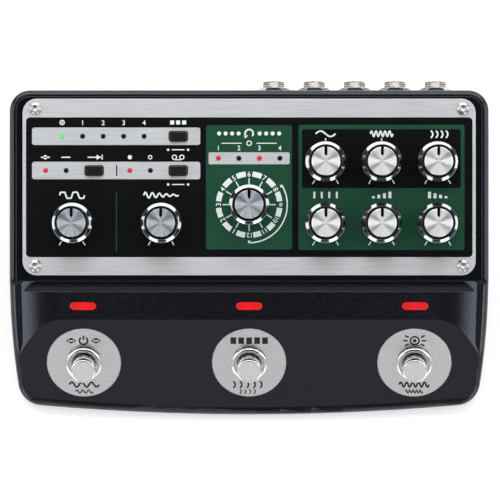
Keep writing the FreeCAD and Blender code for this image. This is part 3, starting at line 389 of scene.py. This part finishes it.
def flat_mesh(name, outlines, thickness):
    """A thin closed sheet in millimetres; an outline inside another is a hole in it."""
    curve = bpy.data.curves.new(name, "CURVE")
    curve.dimensions = "2D"
    curve.fill_mode = "BOTH"
    curve.extrude = thickness / 2
    for outline in outlines:
        spline = curve.splines.new("POLY")
        spline.points.add(len(outline) - 1)
        spline.points.foreach_set("co", np.c_[outline, np.zeros(len(outline)), np.ones(len(outline))].ravel())
        spline.use_cyclic_u = True
    return meshed(curve)


def settle(name, mesh, surface, height, material, body="case"):
    """Puts a mesh made in millimetres on a tilted surface and lets it ride on a body."""
    mesh.transform(surface @ Matrix.Scale(MM, 4) @ Matrix.Translation((0, 0, height)))
    mesh.materials.append(material)
    piece = bpy.data.objects.new(name, mesh)
    bpy.context.scene.collection.objects.link(piece)
    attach(piece, body)
    return piece


def printed(name, outlines, material, level=1, surface=deck):
    """One colour of ink on a plate; level counts the films of ink from the metal up."""
    height = ink_film * (level - 0.5)
    return settle(name, flat_mesh(name, outlines, ink_film), surface, height, material)


def shaft_holes(*names):
    """Clearance holes in the ink round the named knobs' shafts."""
    return [disc(*knob_spots[name], shaft_hole_r) for name in names]


# Screen inks are even and slightly glossy, and the brushed lines below show faintly in them.
ink_look = {"relief": 0.0005, "stretch": (brush_stretch, 1, 1)}
black_ink = grained("black_screen_ink", "060709", "0a0b0e", brush_line, rough=(0.22, 0.28), **ink_look)
green_ink = grained("green_screen_ink", "123d29", "174732", brush_line, rough=(0.28, 0.36), **ink_look)
white_ink = grained("white_screen_ink", "cfd6d9", "dbe1e3", brush_line, rough=(0.45, 0.5), **ink_look)

# All drawings are in millimetres from the plate's middle. A field is given by its own middle, then its
# width, height and corner radius.
upper_strip_y, lower_strip_y, mode_strip_y = 20.3, 6.6, 11.5
black_field = rounded_box(0.05, -0.1, 178.6, 55.9, 1.6)
light_strips = [rounded_box(-53.2, y, 67.3, 7.0, 1.0) for y in (upper_strip_y, lower_strip_y)]
mode_field = rounded_box(-0.05, -0.15, 34.4, 49.7, 1.0)
mode_strip = rounded_box(0.0, mode_strip_y, 32.4, 4.8, 0.6)
level_field = rounded_box(52.95, -0.15, 66.4, 50.1, 1.0)
tone_field = rounded_box(52.9, 11.35, 63.5, 23.5, 0.8)
outlines = [black_field, *light_strips, mode_field, level_field] + shaft_holes("saturation", "flutter")
printed("black_print", outlines, black_ink)
printed("green_mode_field", [mode_field, mode_strip] + shaft_holes("mode"), green_ink)
printed("green_level_field", [level_field, tone_field] + shaft_holes("rate", "intensity", "echo"), green_ink)
printed("black_tone_field", [tone_field] + shaft_holes("bass", "treble", "reverb"), black_ink)
printed("green_divider", [bar(-53.1, -13.95, 0.4, 23.9)], green_ink, 2)
printed("strip_divider", [bar(-53.0, lower_strip_y, 0.5, 4.4)], black_ink)

# White marks: a tick at each end of every knob's turn, and one at the top of the tone controls. A tick
# has its near end, its far end and its width.
knob_turn = 150
end_tick, top_tick = (8.5, 10.3, 0.45), (8.3, 9.3, 0.5)
marks = []
for name, (x, y) in knob_spots.items():
    if name != "mode":
        marks += [spoke(x, y, degrees, *end_tick) for degrees in (-knob_turn, knob_turn)]
    if name in ("bass", "treble"):
        marks.append(spoke(x, y, 0, *top_tick))
printed("knob_ticks", marks, white_ink, 2)

# The selector's dial: twelve numbers on a broken ring, a tick to each, and a thin arc outside with a
# mark at each end. The ring's gaps are in degrees, and wider beside 10, 11 and 12.
dial_x, dial_y = knob_spots["mode"]
dial_step = 30
ring_inner, ring_outer, number_ring = 11.2, 13.35, 12.25
one_digit_gap, two_digit_gap = 6.2, 7.6
two_digit_places = (4, 5, 6)
dial_tick, arc_tick = (7.9, 10.6, 0.45), (14.4, 15.5, 0.9)
arc_inner, arc_outer, arc_ends = 15.0, 15.5, (60, 180)
marks = []
for step in range(12):
    first_gap, last_gap = (two_digit_gap if place in two_digit_places else one_digit_gap
                           for place in (step, step + 1))
    start, end = dial_step * step + first_gap, dial_step * (step + 1) - last_gap
    marks.append(ring_part(dial_x, dial_y, ring_inner, ring_outer, start, end))
    marks.append(spoke(dial_x, dial_y, dial_step * step, *dial_tick))
marks.append(ring_part(dial_x, dial_y, arc_inner, arc_outer, *arc_ends, 48))
marks += [spoke(dial_x, dial_y, degrees, *arc_tick) for degrees in arc_ends]
printed("dial_marks", marks, white_ink, 2)


def digits(name, number, x, y, size, angle=0.0):
    """A plain number printed white, centred on x, y and turned clockwise by an angle in degrees."""
    thickening = 0.03
    curve = bpy.data.curves.new(name, "FONT")
    curve.body = str(number)
    curve.size = size
    curve.offset = thickening
    curve.extrude = ink_film / 2
    mesh = meshed(curve)
    points = places(mesh)
    mesh.transform(Matrix.Translation(-Vector((points.min(0) + points.max(0)) / 2)))
    mesh.transform(Matrix.Translation((x, y, 0)) @ Matrix.Rotation(math.radians(-angle), 4, "Z"))
    return settle(name, mesh, deck, ink_film * 1.5, white_ink)


one_digit_size, two_digit_size = 2.9, 2.6
for number in range(1, 13):
    degrees = dial_step * number + 180
    angle = math.radians(degrees)
    x, y = dial_x + number_ring * math.sin(angle), dial_y + number_ring * math.cos(angle)
    size = one_digit_size if number < 10 else two_digit_size
    digits("dial_number_%02d" % number, number, x, y, size, degrees)

# Plain numbers stand over the lights, and small pictograms say what each control does.
memory_led_x, led_pitch = -74.8, 8.2
memory_number_y, memory_size, mode_number_y, mode_size = 25.7, 2.7, 15.6, 2.6
for number in range(1, 5):
    x = memory_led_x + led_pitch * number
    digits("memory_number_%d" % number, number, x, memory_number_y, memory_size)
    digits("mode_number_%d" % number, number, led_pitch * (number - 2.5), mode_number_y, mode_size)

line, wave_y, tone_y, level_y = 0.62, -3.3, 21.3, -3.2
knob_x = {name: x for name, (x, y) in knob_spots.items()}
marks = [wave(knob_x["saturation"], wave_y, 10, 3.0, 2, line, clip=0.5)]
marks += [wave(knob_x["flutter"], wave_y, 14, 3.0, 5, line, fade=0.8)]
marks += [wave(knob_x["bass"], tone_y, 8, 2.8, 1, line), wave(knob_x["treble"], tone_y, 9, 2.8, 5, line)]
for step in range(4):
    marks.append(ring_part(knob_x["reverb"] - 3.6 + 2.0 * step, tone_y - 0.2, 1.3, 1.3 + line, 30, 150))
    marks.append(bar(knob_x["rate"] - 4.5 + 3.0 * step, level_y, 0.8, 2.6))
    rise, fall = 0.8 + 0.6 * step, 2.6 - 0.6 * step
    marks.append(bar(knob_x["intensity"] - 3.3 + 2.2 * step, level_y - 1.3 + rise / 2, 1.2, rise))
    marks.append(bar(knob_x["echo"] - 3.3 + 2.2 * step, level_y - 1.3 + fall / 2, 1.2, fall))
printed("knob_pictograms", marks, white_ink, 2)

# Over the selector: a turning arrow between dots, and a bracket over its four lights.
arrow_y, bracket_y = 21.4, 17.5
arrow_head = ((-2.1, 20.9), (-0.4, 20.6), (-1.6, 19.4))
marks = [ring_part(0, arrow_y, 1.3, 1.3 + line, -130, 130), np.array(arrow_head)]
marks += [disc(side * x, arrow_y, 0.8, 20) for side in (-1, 1) for x in (4.2, 6.8, 9.4, 12.0)]
marks += [bar(side * 7.0, bracket_y, 8.0, 0.35) for side in (-1, 1)]
marks += ring(0, bracket_y, 0.9, 0.4)
printed("selector_pictograms", marks, white_ink, 2)

# Small pictograms beside the lights and the buttons.
small_y, low_small_y, hold_rows = 25.8, 11.9, (14.9, 1.0)
button_x, play_x = -28.4, -61.0
marks = ring(memory_led_x, small_y, 0.85, 0.4) + [bar(memory_led_x, small_y, 0.4, 0.9)]
marks += [bar(button_x + 2.4 * step, small_y, 1.6, 1.6) for step in (-1, 0, 1)]
marks += [bar(-81.5, low_small_y, 3.6, 0.45), disc(-81.5, low_small_y, 0.85, 24)]
marks += [bar(-73.3, low_small_y, 3.6, 0.45)]
marks += [np.array(((play_x, low_small_y + 1), (play_x, low_small_y - 1), (play_x + 1.8, low_small_y)))]
marks += [bar(play_x - 1.8, low_small_y, 3.6, 0.45), bar(play_x + 2.2, low_small_y, 0.45, 2.0)]
marks += [disc(-47.7, low_small_y, 0.85, 24)] + ring(-39.6, low_small_y, 0.7, 0.35)
marks += ring(button_x - 1.5, low_small_y, 0.85, 0.4) + ring(button_x + 1.5, low_small_y, 0.85, 0.4)
marks += [bar(button_x, low_small_y - 1.0, 3.0, 0.35)]
for y in hold_rows:
    marks += [bar(button_x, y, 5.0, 0.4)] + [disc(button_x + side * 4.0, y, 0.5, 20) for side in (-1, 1)]
printed("button_pictograms", marks, white_ink, 2)


# Screws of the control plate
# Four nickel-plated screws with a domed head and a hexagon socket, driven through the plate.

# Satin nickel plate is a pale, blurred mirror.
satin_nickel = grained("satin_nickel_plate", "9a9a99", "acacab", 0.8, rough=(0.28, 0.36), Metallic=1.0)
paint("plate_screws", satin_nickel)


# Knobs
# A turned body, lacquered black down to its flared skirt, which is chrome plated. A spun
# aluminium inlay is glued into its top, slotted for the pointer, and a steel shaft turns it.

# The chrome plate of the skirts is handled most: a cold mirror, a little darker and less sharp.
worn_chrome = grained("handled_chrome_plate", "94979a", "a2a5a8", 1.2, rough=(0.08, 0.14), Metallic=1.0)
# Stoved black lacquer on the body is even and glossy.
black_lacquer = grained("black_lacquer", "08090a", "0e0f10", 1.0, rough=(0.2, 0.28))
# Drawn steel shafts are mid grey, a little blurred by the fine lines that the die leaves.
drawn_steel = grained("drawn_steel", "8f9295", "a9acae", 0.3, rough=(0.25, 0.35), Metallic=1.0)


def spun_aluminium(name, dark, light, rough, dish, painted_ray_shade):
    """Aluminium faced on a lathe: grooves round its middle, 0.35 millimetres apart, draw its highlights
    into rays.

    The face is dished: its height grows with the square of the radius, by dish millimetres over the
    cap's width. Painted dark rays, a noise on the direction from the middle, stand in for the dark gaps
    between reflected lamps: painted shade that darkens it by up to painted_ray_shade.
    """
    cap_width, groove = 11.7, 0.35
    material, tree, shader = finish(name, Metallic=1.0, Anisotropic=1.0)
    place = add(tree, "TexCoord")
    centre = add(tree, "VectorMath", {0: (place, "Generated"), 1: (0.5, 0.5, 0.5)}, operation="SUBTRACT")
    flat = add(tree, "VectorMath", {0: (centre, 0), 1: (1.0, 1.0, 0.0)}, operation="MULTIPLY")
    radius = add(tree, "VectorMath", {0: (flat, 0)}, operation="LENGTH")
    rings = add(tree, "Math", {0: (radius, "Value"), 1: cap_width / groove}, operation="MULTIPLY")
    noise = add(tree, "TexNoise", {"W": (rings, 0), "Scale": 1.0, "Detail": 2.0}, noise_dimensions="1D")
    tone = add(tree, "ValToRGB", {"Fac": (noise, 0)})
    tone.color_ramp.elements[0].position = NOISE_LOW
    tone.color_ramp.elements[0].color = linear(dark)
    tone.color_ramp.elements[1].position = NOISE_HIGH
    tone.color_ramp.elements[1].color = linear(light)
    gloss = add(tree, "MapRange", {"Value": (noise, 0), "To Min": rough[0], "To Max": rough[1]})
    bowl = add(tree, "Math", {0: (radius, "Value"), 1: 2.0}, operation="POWER")
    bump = add(tree, "Bump", {"Height": (bowl, 0), "Strength": 1.0, "Distance": dish * MM})
    tree.links.new(bump.outputs["Normal"], shader.inputs["Normal"])
    # Painted dark rays: a noise on the direction from the middle darkens sectors of the face, painted shade
    # between reflected lamps.
    heading = add(tree, "VectorMath", {0: (flat, 0)}, operation="NORMALIZE")
    fan = add(tree, "TexNoise", {"Vector": (heading, 0), "Scale": 4.0, "Detail": 3.0})
    shade = add(tree, "MapRange", {"Value": (fan, 0), "From Min": 0.35, "From Max": 0.65,
                                   "To Min": 1.0 - painted_ray_shade})
    shaded = add(tree, "VectorMath", {0: (tone, "Color"), "Scale": (shade, 0)}, operation="SCALE")
    tree.links.new(shaded.outputs[0], shader.inputs["Base Color"])
    tree.links.new(gloss.outputs[0], shader.inputs["Roughness"])
    return combed(material, "Z", turn=0.25)


def half_width(node):
    """Half of a CAD node's width from left to right, in millimetres."""
    low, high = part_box(node)
    return (high.x - low.x) / 2 * PER_MM


def closed_faces(rows, columns):
    """Four-cornered faces of a grid of points that joins on to itself both ways."""
    corner = np.arange(rows * columns).reshape(rows, columns)
    beside = np.roll(corner, -1, 1)
    return np.stack((corner, beside, np.roll(beside, -1, 0), np.roll(corner, -1, 0)), -1).reshape(-1, 4)


def turned_knob(name, turn_steps=96, arc_steps=6):
    """A lathe profile turned about the knob's axis and joined to itself, in millimetres above its base.

    The skirt is a cone that leans outwards, and a small hollow arc, swept from the cone's lean to
    nearly upright, leads up into the body. Each row of the grid is one point of the profile, each
    column one angle.
    """
    body_r, cone_top_r, lean, upright, sharp = 6.75, 6.9, 30, 88, 25
    skirt_edge, corner, hollow_r, shoulder_r = 0.5, 0.1, 0.3, 0.3
    clearance, bore_step = 0.05, 1
    knob, cap, shaft = name + "_knob", name + "_knob_cap", name + "_shaft"
    base = -reach(knob, -deck_normal)
    ring_top = (reach(knob, deck_normal) - base) * PER_MM
    seat = (-reach(cap, -deck_normal) - base) * PER_MM
    bore_top = (reach(shaft, deck_normal) - base) * PER_MM + clearance
    skirt_r = half_width(knob)
    cap_r, bore_r = half_width(cap) + clearance, half_width(shaft) + clearance
    cone_top = skirt_edge + (skirt_r - corner - cone_top_r) * math.tan(math.radians(lean))
    sweep = np.radians(np.linspace(lean, upright, arc_steps))
    hollow = np.stack((np.sin(sweep), np.cos(sweep)), 1)
    hollow = (cone_top_r, cone_top) + hollow_r * (hollow[0] - hollow)
    sweep = np.radians(np.linspace(0, 90, arc_steps))
    shoulder = np.stack((np.cos(sweep), np.sin(sweep)), 1)
    shoulder = (body_r - shoulder_r, ring_top - shoulder_r) + shoulder_r * shoulder
    edge = [(skirt_r - corner, 0), (skirt_r, corner), (skirt_r, skirt_edge - corner),
            (skirt_r - corner, skirt_edge)]
    inside = [(cap_r, ring_top), (cap_r, seat), (bore_r - bore_step, seat), (bore_r - bore_step, bore_top),
              (bore_r, bore_top), (bore_r, 0)]
    profile = np.concatenate((edge, hollow, shoulder, inside))
    angle = np.linspace(0, 2 * math.pi, turn_steps, endpoint=False)
    radius, level = profile[:, :1], np.broadcast_to(profile[:, 1:], (len(profile), turn_steps))
    points = np.stack((radius * np.cos(angle), radius * np.sin(angle), level), -1).reshape(-1, 3)
    faces = closed_faces(len(profile), turn_steps)
    mesh = bpy.data.meshes.new(name + "_turned_knob")
    mesh.from_pydata(points, [], faces.tolist())
    mesh.polygons.foreach_set("use_smooth", [True] * len(faces))
    mesh.set_sharp_from_angle(angle=math.radians(sharp))
    turn = joints[name + "_turn"]
    stand = tilted(at_level(Vector(turn["pos_m"]), deck_normal, base), deck_normal)
    piece = settle(name + "_turned_knob", mesh, stand, 0, worn_chrome, turn["child"])
    piece.data.materials.append(black_lacquer)
    black = points[faces].mean(axis=1)[:, 2] > hollow[-1, 1]
    piece.data.polygons.foreach_set("material_index", black.astype(np.int32))
    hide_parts(knob)


# The inlays are all the same spun aluminium. Those of the six knobs on the right are painted lighter, and
# those of the selector and the two knobs on the left are painted darker, with stronger painted dark rays:
# painted light and shade for how the light falls on each side.
lit_inlay_aluminium = spun_aluminium("spun_aluminium_painted_lit", "eef1f4", "fbfcfd", (0.42, 0.47), 0.5, 0.06)
shaded_inlay_aluminium = spun_aluminium("spun_aluminium", "b8bec8", "e4e9f0", (0.42, 0.5), 1.6, 0.38)
for name in knob_names:
    turned_knob(name)
    paint(name + "_knob_cap", shaded_inlay_aluminium if name in ("saturation", "flutter", "mode") else lit_inlay_aluminium)
    paint(name + "_shaft", drawn_steel)


# Push buttons
# Three moulded buttons stand in slots of the plate, with bevelled edges that catch the light.

# Moulded ABS, dark grey-black, with a fine spark-eroded grain.
button_abs = grained("moulded_abs", "07080a", "0c0d0f", 0.25, relief=0.004, rough=(0.3, 0.4))
for name in ("memory", "input", "tape"):
    paint(name + "_button", button_abs)


# Lights on the plate
# Small round lights of tinted epoxy look out of the bare strips. The green one and every other one
# of the lower rows are lit, and the rest show dark.

# Unlit epoxy is nearly black and glossy: its tint drowns what light gets in.
dark_epoxy = grained("unlit_tinted_epoxy", "0b0a0c", "141315", 0.5, rough=(0.2, 0.3), IOR=1.4)


def lit_epoxy(name, dark, light, glow, strength):
    """Tinted epoxy with a chip alight inside: the lens shines evenly in the chip's colour."""
    return grained(name, dark, light, 0.6, rough=(0.15, 0.25), Emission_Color=linear(glow),
                   Emission_Strength=strength)


red_light = lit_epoxy("lit_red_epoxy", "8c1424", "a81c30", "dc2844", 0.52)
green_light = lit_epoxy("lit_green_epoxy", "2f9c50", "3fb060", "5cf586", 0.48)
lit_spots = ((-81.4, lower_strip_y), (-47.7, lower_strip_y), (-12.3, mode_strip_y), (4.1, mode_strip_y))
lit_places = np.array([deck @ Vector((x * MM, y * MM, 0)) for x, y in lit_spots])
lit_reach = 2.5 * MM


def is_lit(points):
    """Points within a lit light's reach of its middle, measured level."""
    out = points[:, None, :] - lit_places[None, :, :]
    return (np.hypot(out[..., 0], out[..., 1]) < lit_reach).any(axis=1)


def choose(node, chosen, index):
    """Gives one of a CAD node's materials to the faces whose middles pass a test."""
    mesh = nodes[node].data
    middles = np.empty(len(mesh.polygons) * 3)
    mesh.polygons.foreach_get("center", middles)
    slots = np.empty(len(mesh.polygons), dtype=np.int32)
    mesh.polygons.foreach_get("material_index", slots)
    slots[chosen(middles.reshape(-1, 3))] = index
    mesh.polygons.foreach_set("material_index", slots)


paint("red_leds", dark_epoxy, red_light)
choose("red_leds", is_lit, 1)
paint("green_led", green_light)


# Status lenses
# Three red bars in the band over the footswitches, moulded in diffusing polycarbonate and lit
# from behind by a light in the middle, so each is brightest there.

def lamp_red():
    """Diffusing red polycarbonate, lit: the glow falls off from the middle to both ends.

    The place along the case is wrapped by the lenses' pitch, so it is 0 in the middle of each.
    """
    half_pitch, half_lens = 66.7 / 2 * MM, 5.4 * MM
    middle_glow, end_glow = 0.74, 0.52
    material, tree, shader = finish("lit_red_polycarbonate", Roughness=0.25)
    place = add(tree, "TexCoord")
    spot = add(tree, "SeparateXYZ", {0: (place, "Object")})
    wrapped = add(tree, "Math", {0: (spot, "X"), 1: -half_pitch, 2: half_pitch}, operation="WRAP")
    aside = add(tree, "Math", {0: (wrapped, 0)}, operation="ABSOLUTE")
    glow = add(tree, "MapRange", {"Value": (aside, 0), "From Min": 0.0, "From Max": half_lens,
                                  "To Min": middle_glow, "To Max": end_glow})
    grain = add(tree, "TexNoise", {"Vector": (place, "Object"), "Scale": PER_MM / 0.8, "Detail": 1.0})
    tone = add(tree, "ValToRGB", {"Fac": (grain, 0)})
    tone.color_ramp.elements[0].color = linear("6a0304")
    tone.color_ramp.elements[1].color = linear("800606")
    shader.inputs["Emission Color"].default_value = linear("ff1016")
    tree.links.new(glow.outputs[0], shader.inputs["Emission Strength"])
    tree.links.new(tone.outputs["Color"], shader.inputs["Base Color"])
    return material


paint("status_lenses", lamp_red())


# Footswitches
# Each has a round satin steel plate with a turned-down edge under a polished dress nut. A chromed
# plunger with a wide cap slides in the threaded bush of its housing, pushed up by a coil spring.

# Bright nickel plate has a warm grey mirror finish, softened by handling.
nickel_plate = grained("bright_nickel_plate", "bdb8b0", "d2cdc6", 0.8, rough=(0.16, 0.24), Metallic=1.0)
# Chrome plate is a cold, nearly perfect mirror with the faintest wipe marks.
chrome_plate = grained("chrome_plate", "dadcde", "e2e4e6", 2.5, rough=(0.06, 0.07), Metallic=1.0)
# Satin stainless steel is ground fine, so it is bright but blurred, with faint straight lines.
satin_steel = grained("satin_stainless_steel", "d6d7d9", "e6e7e9", 0.25, relief=0.001, rough=(0.24, 0.3),
                      stretch=(40, 1, 1), Metallic=1.0)
# The plates' turned-down edges come dull and rough from tumbling, and their colour is painted darker than
# the flat's: painted shade that dims their highlights to a dark outline.
rough_shaded_edge = grained("tumbled_steel_edge_painted_shade", "9a9b9d", "b0b1b3", 0.5, rough=(0.5, 0.6), Metallic=1.0)
# Oiled spring wire is dark, bright steel.
spring_wire = grained("oiled_spring_wire", "6a6c6f", "85878a", 0.5, rough=(0.25, 0.35), Metallic=1.0)
# The glass-filled nylon of the switch housings is a dull black.
black_nylon = grained("black_nylon", "121213", "1b1b1c", 0.4, relief=0.006, rough=(0.5, 0.6))
paint("footswitch_plates", satin_steel, rough_shaded_edge)
paint("footswitch_collars", chrome_plate)
paint("footswitch_housings", nickel_plate)
switch_names = ("left", "centre", "right")
foot_normal = -Vector(joints["left_stomp_push"]["axis"])
plates_level = reach("footswitch_plates", foot_normal)
foot_surfaces = {}
for name in switch_names:
    paint(name + "_footswitch_plunger", chrome_plate)
    low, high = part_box(name + "_footswitch_plunger")
    foot_surfaces[name] = tilted(at_level((low + high) / 2, foot_normal, plates_level), foot_normal)

# The flat of a plate ends where its edge turns down.
flat_r = 14.6 * MM
switch_spots = np.array([surface.translation for surface in foot_surfaces.values()])


def on_edge(points):
    """Points of the plates' edges: beyond the flat's radius from every switch's axis."""
    out = points[:, None, :] - switch_spots[None, :, :]
    along = out @ np.array(foot_normal)
    away = np.linalg.norm(out - along[..., None] * np.array(foot_normal), axis=2)
    return (away > flat_r).all(axis=1)


# The turned-down edges take the rough steel whose darker colour is painted shade.
choose("footswitch_plates", on_edge, 1)


def spring_coil(name, low_end, high_end, centre, steps=240, sides=10):
    """A round wire carried along a helix about the switch's axis, with a flat face on each end.

    The wire's section stands square to the helix: its two directions are the way out from the axis,
    and that way crossed with the helix's own run.
    """
    turns, coil_r, wire_r = 4, 4.2 * MM, 0.3 * MM
    turn = np.linspace(0, 2 * math.pi * turns, steps)
    around = np.linspace(0, 2 * math.pi, sides, endpoint=False)
    normal = np.array(foot_normal)
    right = np.array((1.0, 0.0, 0.0))
    back = np.cross(normal, right)
    out = np.cos(turn)[:, None] * right + np.sin(turn)[:, None] * back
    ahead = np.cos(turn)[:, None] * back - np.sin(turn)[:, None] * right
    climb = (high_end - low_end - 2 * wire_r) / turn[-1]
    run = ahead * coil_r + normal * climb
    run /= np.linalg.norm(run, axis=1)[:, None]
    rise = np.cross(out, run)
    start = np.array(centre)
    start = start + normal * (low_end + wire_r - start @ normal)
    middle = start + out * coil_r + (turn * climb)[:, None] * normal
    across, up = np.cos(around)[None, :, None], np.sin(around)[None, :, None]
    section = across * out[:, None, :] + up * rise[:, None, :]
    points = (middle[:, None, :] + wire_r * section).reshape(-1, 3)
    corner = np.arange(steps * sides).reshape(steps, sides)
    beside = np.roll(corner, -1, 1)
    faces = np.stack((corner[:-1], corner[1:], beside[1:], beside[:-1]), -1).reshape(-1, 4).tolist()
    faces += [corner[0].tolist(), corner[-1][::-1].tolist()]
    mesh = bpy.data.meshes.new(name)
    mesh.from_pydata(points, [], faces)
    mesh.polygons.foreach_set("use_smooth", [True] * len(faces))
    return mesh


# A spring shortens by the plunger's travel when the switch is stamped on; here each coil is built at its
# rest length, between the ends of its CAD spring, and rides on the case.
for name in switch_names:
    node = name + "_footswitch_spring"
    low_end, high_end = -reach(node, -foot_normal), reach(node, foot_normal)
    low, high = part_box(node)
    centre = (low + high) / 2
    mesh = spring_coil(name + "_spring_coil", low_end, high_end, centre)
    mesh.materials.append(spring_wire)
    coil = bpy.data.objects.new(name + "_spring_coil", mesh)
    bpy.context.scene.collection.objects.link(coil)
    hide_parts(node)
    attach(coil, "case")
    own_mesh(coil)

# Dark pictograms, screened on the plates above and below each switch: lines and rings in millimetres
# from its middle.
upper_mark_y, lower_mark_y, third_mark_y = 9.85, -9.6, -12.7
left_marks = [ring_part(0, upper_mark_y, 1.3, 2.0, 35, 325, 32), bar(0, upper_mark_y + 1.3, 0.7, 1.9)]
centre_marks = [bar(3.2 * step, upper_mark_y, 2.3, 2.9) for step in (-2, -1, 0, 1, 2)]
right_marks = ring(0, upper_mark_y, 1.75, 0.7) + [disc(0, upper_mark_y, 0.75, 24)]
for side in (-1, 1):
    left_marks += [bar(side * 5.0, upper_mark_y, 3.6, 0.8), disc(side * 5.0, upper_mark_y, 1.2, 24)]
    right_marks += [spoke(0, upper_mark_y, side * degrees, 2.8, 4.6, 0.7) for degrees in (60, 90, 120)]
left_marks += [wave(0, lower_mark_y, 12, 2.9, 3, 0.75), wave(0, third_mark_y, 7, 1.9, 3, 0.5)]
centre_marks += [ring_part(2.7 * step - 7.4, lower_mark_y, 1.4, 2.1, 35, 145) for step in range(5)]
centre_marks += [ring_part(1.9 * step - 4.5, third_mark_y, 1.0, 1.5, 40, 140) for step in range(4)]
right_marks += [wave(0, lower_mark_y, 12, 2.9, 5, 0.75), wave(0, third_mark_y, 7, 1.9, 5, 0.5)]
plate_marks = {"left": left_marks, "centre": centre_marks, "right": right_marks}
for name, outlines in plate_marks.items():
    printed(name + "_plate_marks", outlines, black_ink, 1, foot_surfaces[name])


# Rear sockets
# Five quarter-inch jacks with threaded nickel bushes and hexagon nuts, two small jacks, a data
# socket and a power inlet look out of the rear wall.

# The bushes' nickel is thinner in the thread, so it is darker and browner there than on the nuts.
thread_nickel = grained("nickel_plated_thread", "9a968f", "b2aea8", 0.8, rough=(0.14, 0.22), Metallic=1.0)
paint("jack_bodies", black_nylon)
paint("jack_nuts", nickel_plate)
thread_pitch, thread_depth = 0.8 * MM, 0.26 * MM
bush_back, bush_tip = (corner.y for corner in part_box("jack_bushes"))
bush_low, bush_high = (corner.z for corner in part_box("jack_bushes"))
bush_r, bush_mouth = (bush_high - bush_low) / 2, 0.4 * MM
jacks = [mount for mount in frame["record"]["mounts"] if mount["name"].startswith("jack_")]


def threaded_bushes(steps=64, rows_per_pitch=8):
    """Tubes along Y: a lathe profile turned about each jack's axis and joined to itself at both ends.

    Where the profile is threaded, a triangle wave that moves on by one pitch in a turn cuts its radius.
    """
    rows = int(rows_per_pitch * (bush_tip - bush_back) / thread_pitch)
    bore = jacks[0]["dims"]["r_mm"] * MM
    along = np.linspace(bush_back, bush_tip - bush_mouth, rows)
    along = np.concatenate((along, (bush_tip, bush_tip, bush_tip - bush_mouth, bush_back)))
    radius = np.concatenate((np.full(rows, bush_r), (bush_r - bush_mouth, bore + bush_mouth, bore, bore)))
    threaded = np.arange(len(along)) < rows
    angle = np.linspace(0, 2 * math.pi, steps, endpoint=False)
    phase = along[:, None] / thread_pitch - angle[None, :] / (2 * math.pi)
    groove = np.abs(2 * (phase % 1) - 1)
    cut_radius = radius[:, None] - threaded[:, None] * thread_depth * groove
    level = np.broadcast_to(along[:, None], cut_radius.shape)
    tube = np.stack((cut_radius * np.sin(angle), level, cut_radius * np.cos(angle)), -1).reshape(-1, 3)
    middles = np.array([(jack["pos_m"][0], 0, jack["pos_m"][2]) for jack in jacks])
    points = (middles[:, None, :] + tube).reshape(-1, 3)
    faces = closed_faces(len(along), steps)
    faces = np.concatenate([faces + len(tube) * step for step in range(len(jacks))])
    mesh = bpy.data.meshes.new("threaded_jack_bushes")
    mesh.from_pydata(points, [], faces.tolist())
    return mesh


bushes = bpy.data.objects.new("threaded_jack_bushes", threaded_bushes())
bushes.data.materials.append(thread_nickel)
bpy.context.scene.collection.objects.link(bushes)
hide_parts("jack_bushes")
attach(bushes, "case")
paint("mini_jacks", black_nylon)
paint("usb_socket", nickel_plate)
paint("dc_socket", black_nylon, nickel_plate)
pin_mount = next(mount for mount in frame["record"]["mounts"] if mount["name"] == "power_pin")
pin_reach = 1.2 * MM


def on_pin(points):
    """Points on the inlet's pin, by their distance from its axis."""
    out = points - np.array(pin_mount["pos_m"])
    return np.hypot(out[:, 0], out[:, 2]) < pin_reach


choose("dc_socket", on_pin, 1)


# Boards, the controls on them and the cable between them
# Two glass-epoxy boards: the upper carries the rotary controls, the selector, the button
# switches and the lights, the lower the sockets and the sound circuit. A flat cable joins them.

# Green solder mask over glass cloth, whose weave shows as a faint half-millimetre pattern.
solder_mask = grained("green_solder_mask", "0f3a20", "16482a", 0.5, relief=0.004, rough=(0.3, 0.4))
# The tinned steel cans of the rotary controls are pale grey, clouded like a soldered joint.
tinned_steel = grained("tinned_steel", "a3a6a6", "bfc1c0", 1.5, rough=(0.25, 0.4), Metallic=1.0)
paint("control_board", solder_mask)
paint("main_board", solder_mask)
paint("potentiometers", tinned_steel)
paint("selector_switch", tinned_steel)
paint("tact_switches", black_nylon)


def ribbon_vinyl():
    """Grey vinyl flat cable, half glossy: round ridges over its conductors, 1.27 millimetres apart."""
    conductor_pitch, ridge_height = 1.27, 0.1
    material, tree, shader = finish("grey_vinyl", Roughness=0.45)
    place = add(tree, "TexCoord")
    spot = add(tree, "SeparateXYZ", {0: (place, "Object")})
    ridges = 2 * math.pi * PER_MM / conductor_pitch
    turn = add(tree, "Math", {0: (spot, "X"), 1: ridges}, operation="MULTIPLY")
    ridge = add(tree, "Math", {0: (turn, 0)}, operation="COSINE")
    tone = add(tree, "ValToRGB", {"Fac": (ridge, 0)})
    tone.color_ramp.elements[0].color = linear("7d8084")
    tone.color_ramp.elements[1].color = linear("9a9da1")
    bump = add(tree, "Bump", {"Height": (ridge, 0), "Strength": 1.0, "Distance": ridge_height * MM})
    tree.links.new(tone.outputs["Color"], shader.inputs["Base Color"])
    tree.links.new(bump.outputs["Normal"], shader.inputs["Normal"])
    return material


paint("ribbon_cable", ribbon_vinyl())
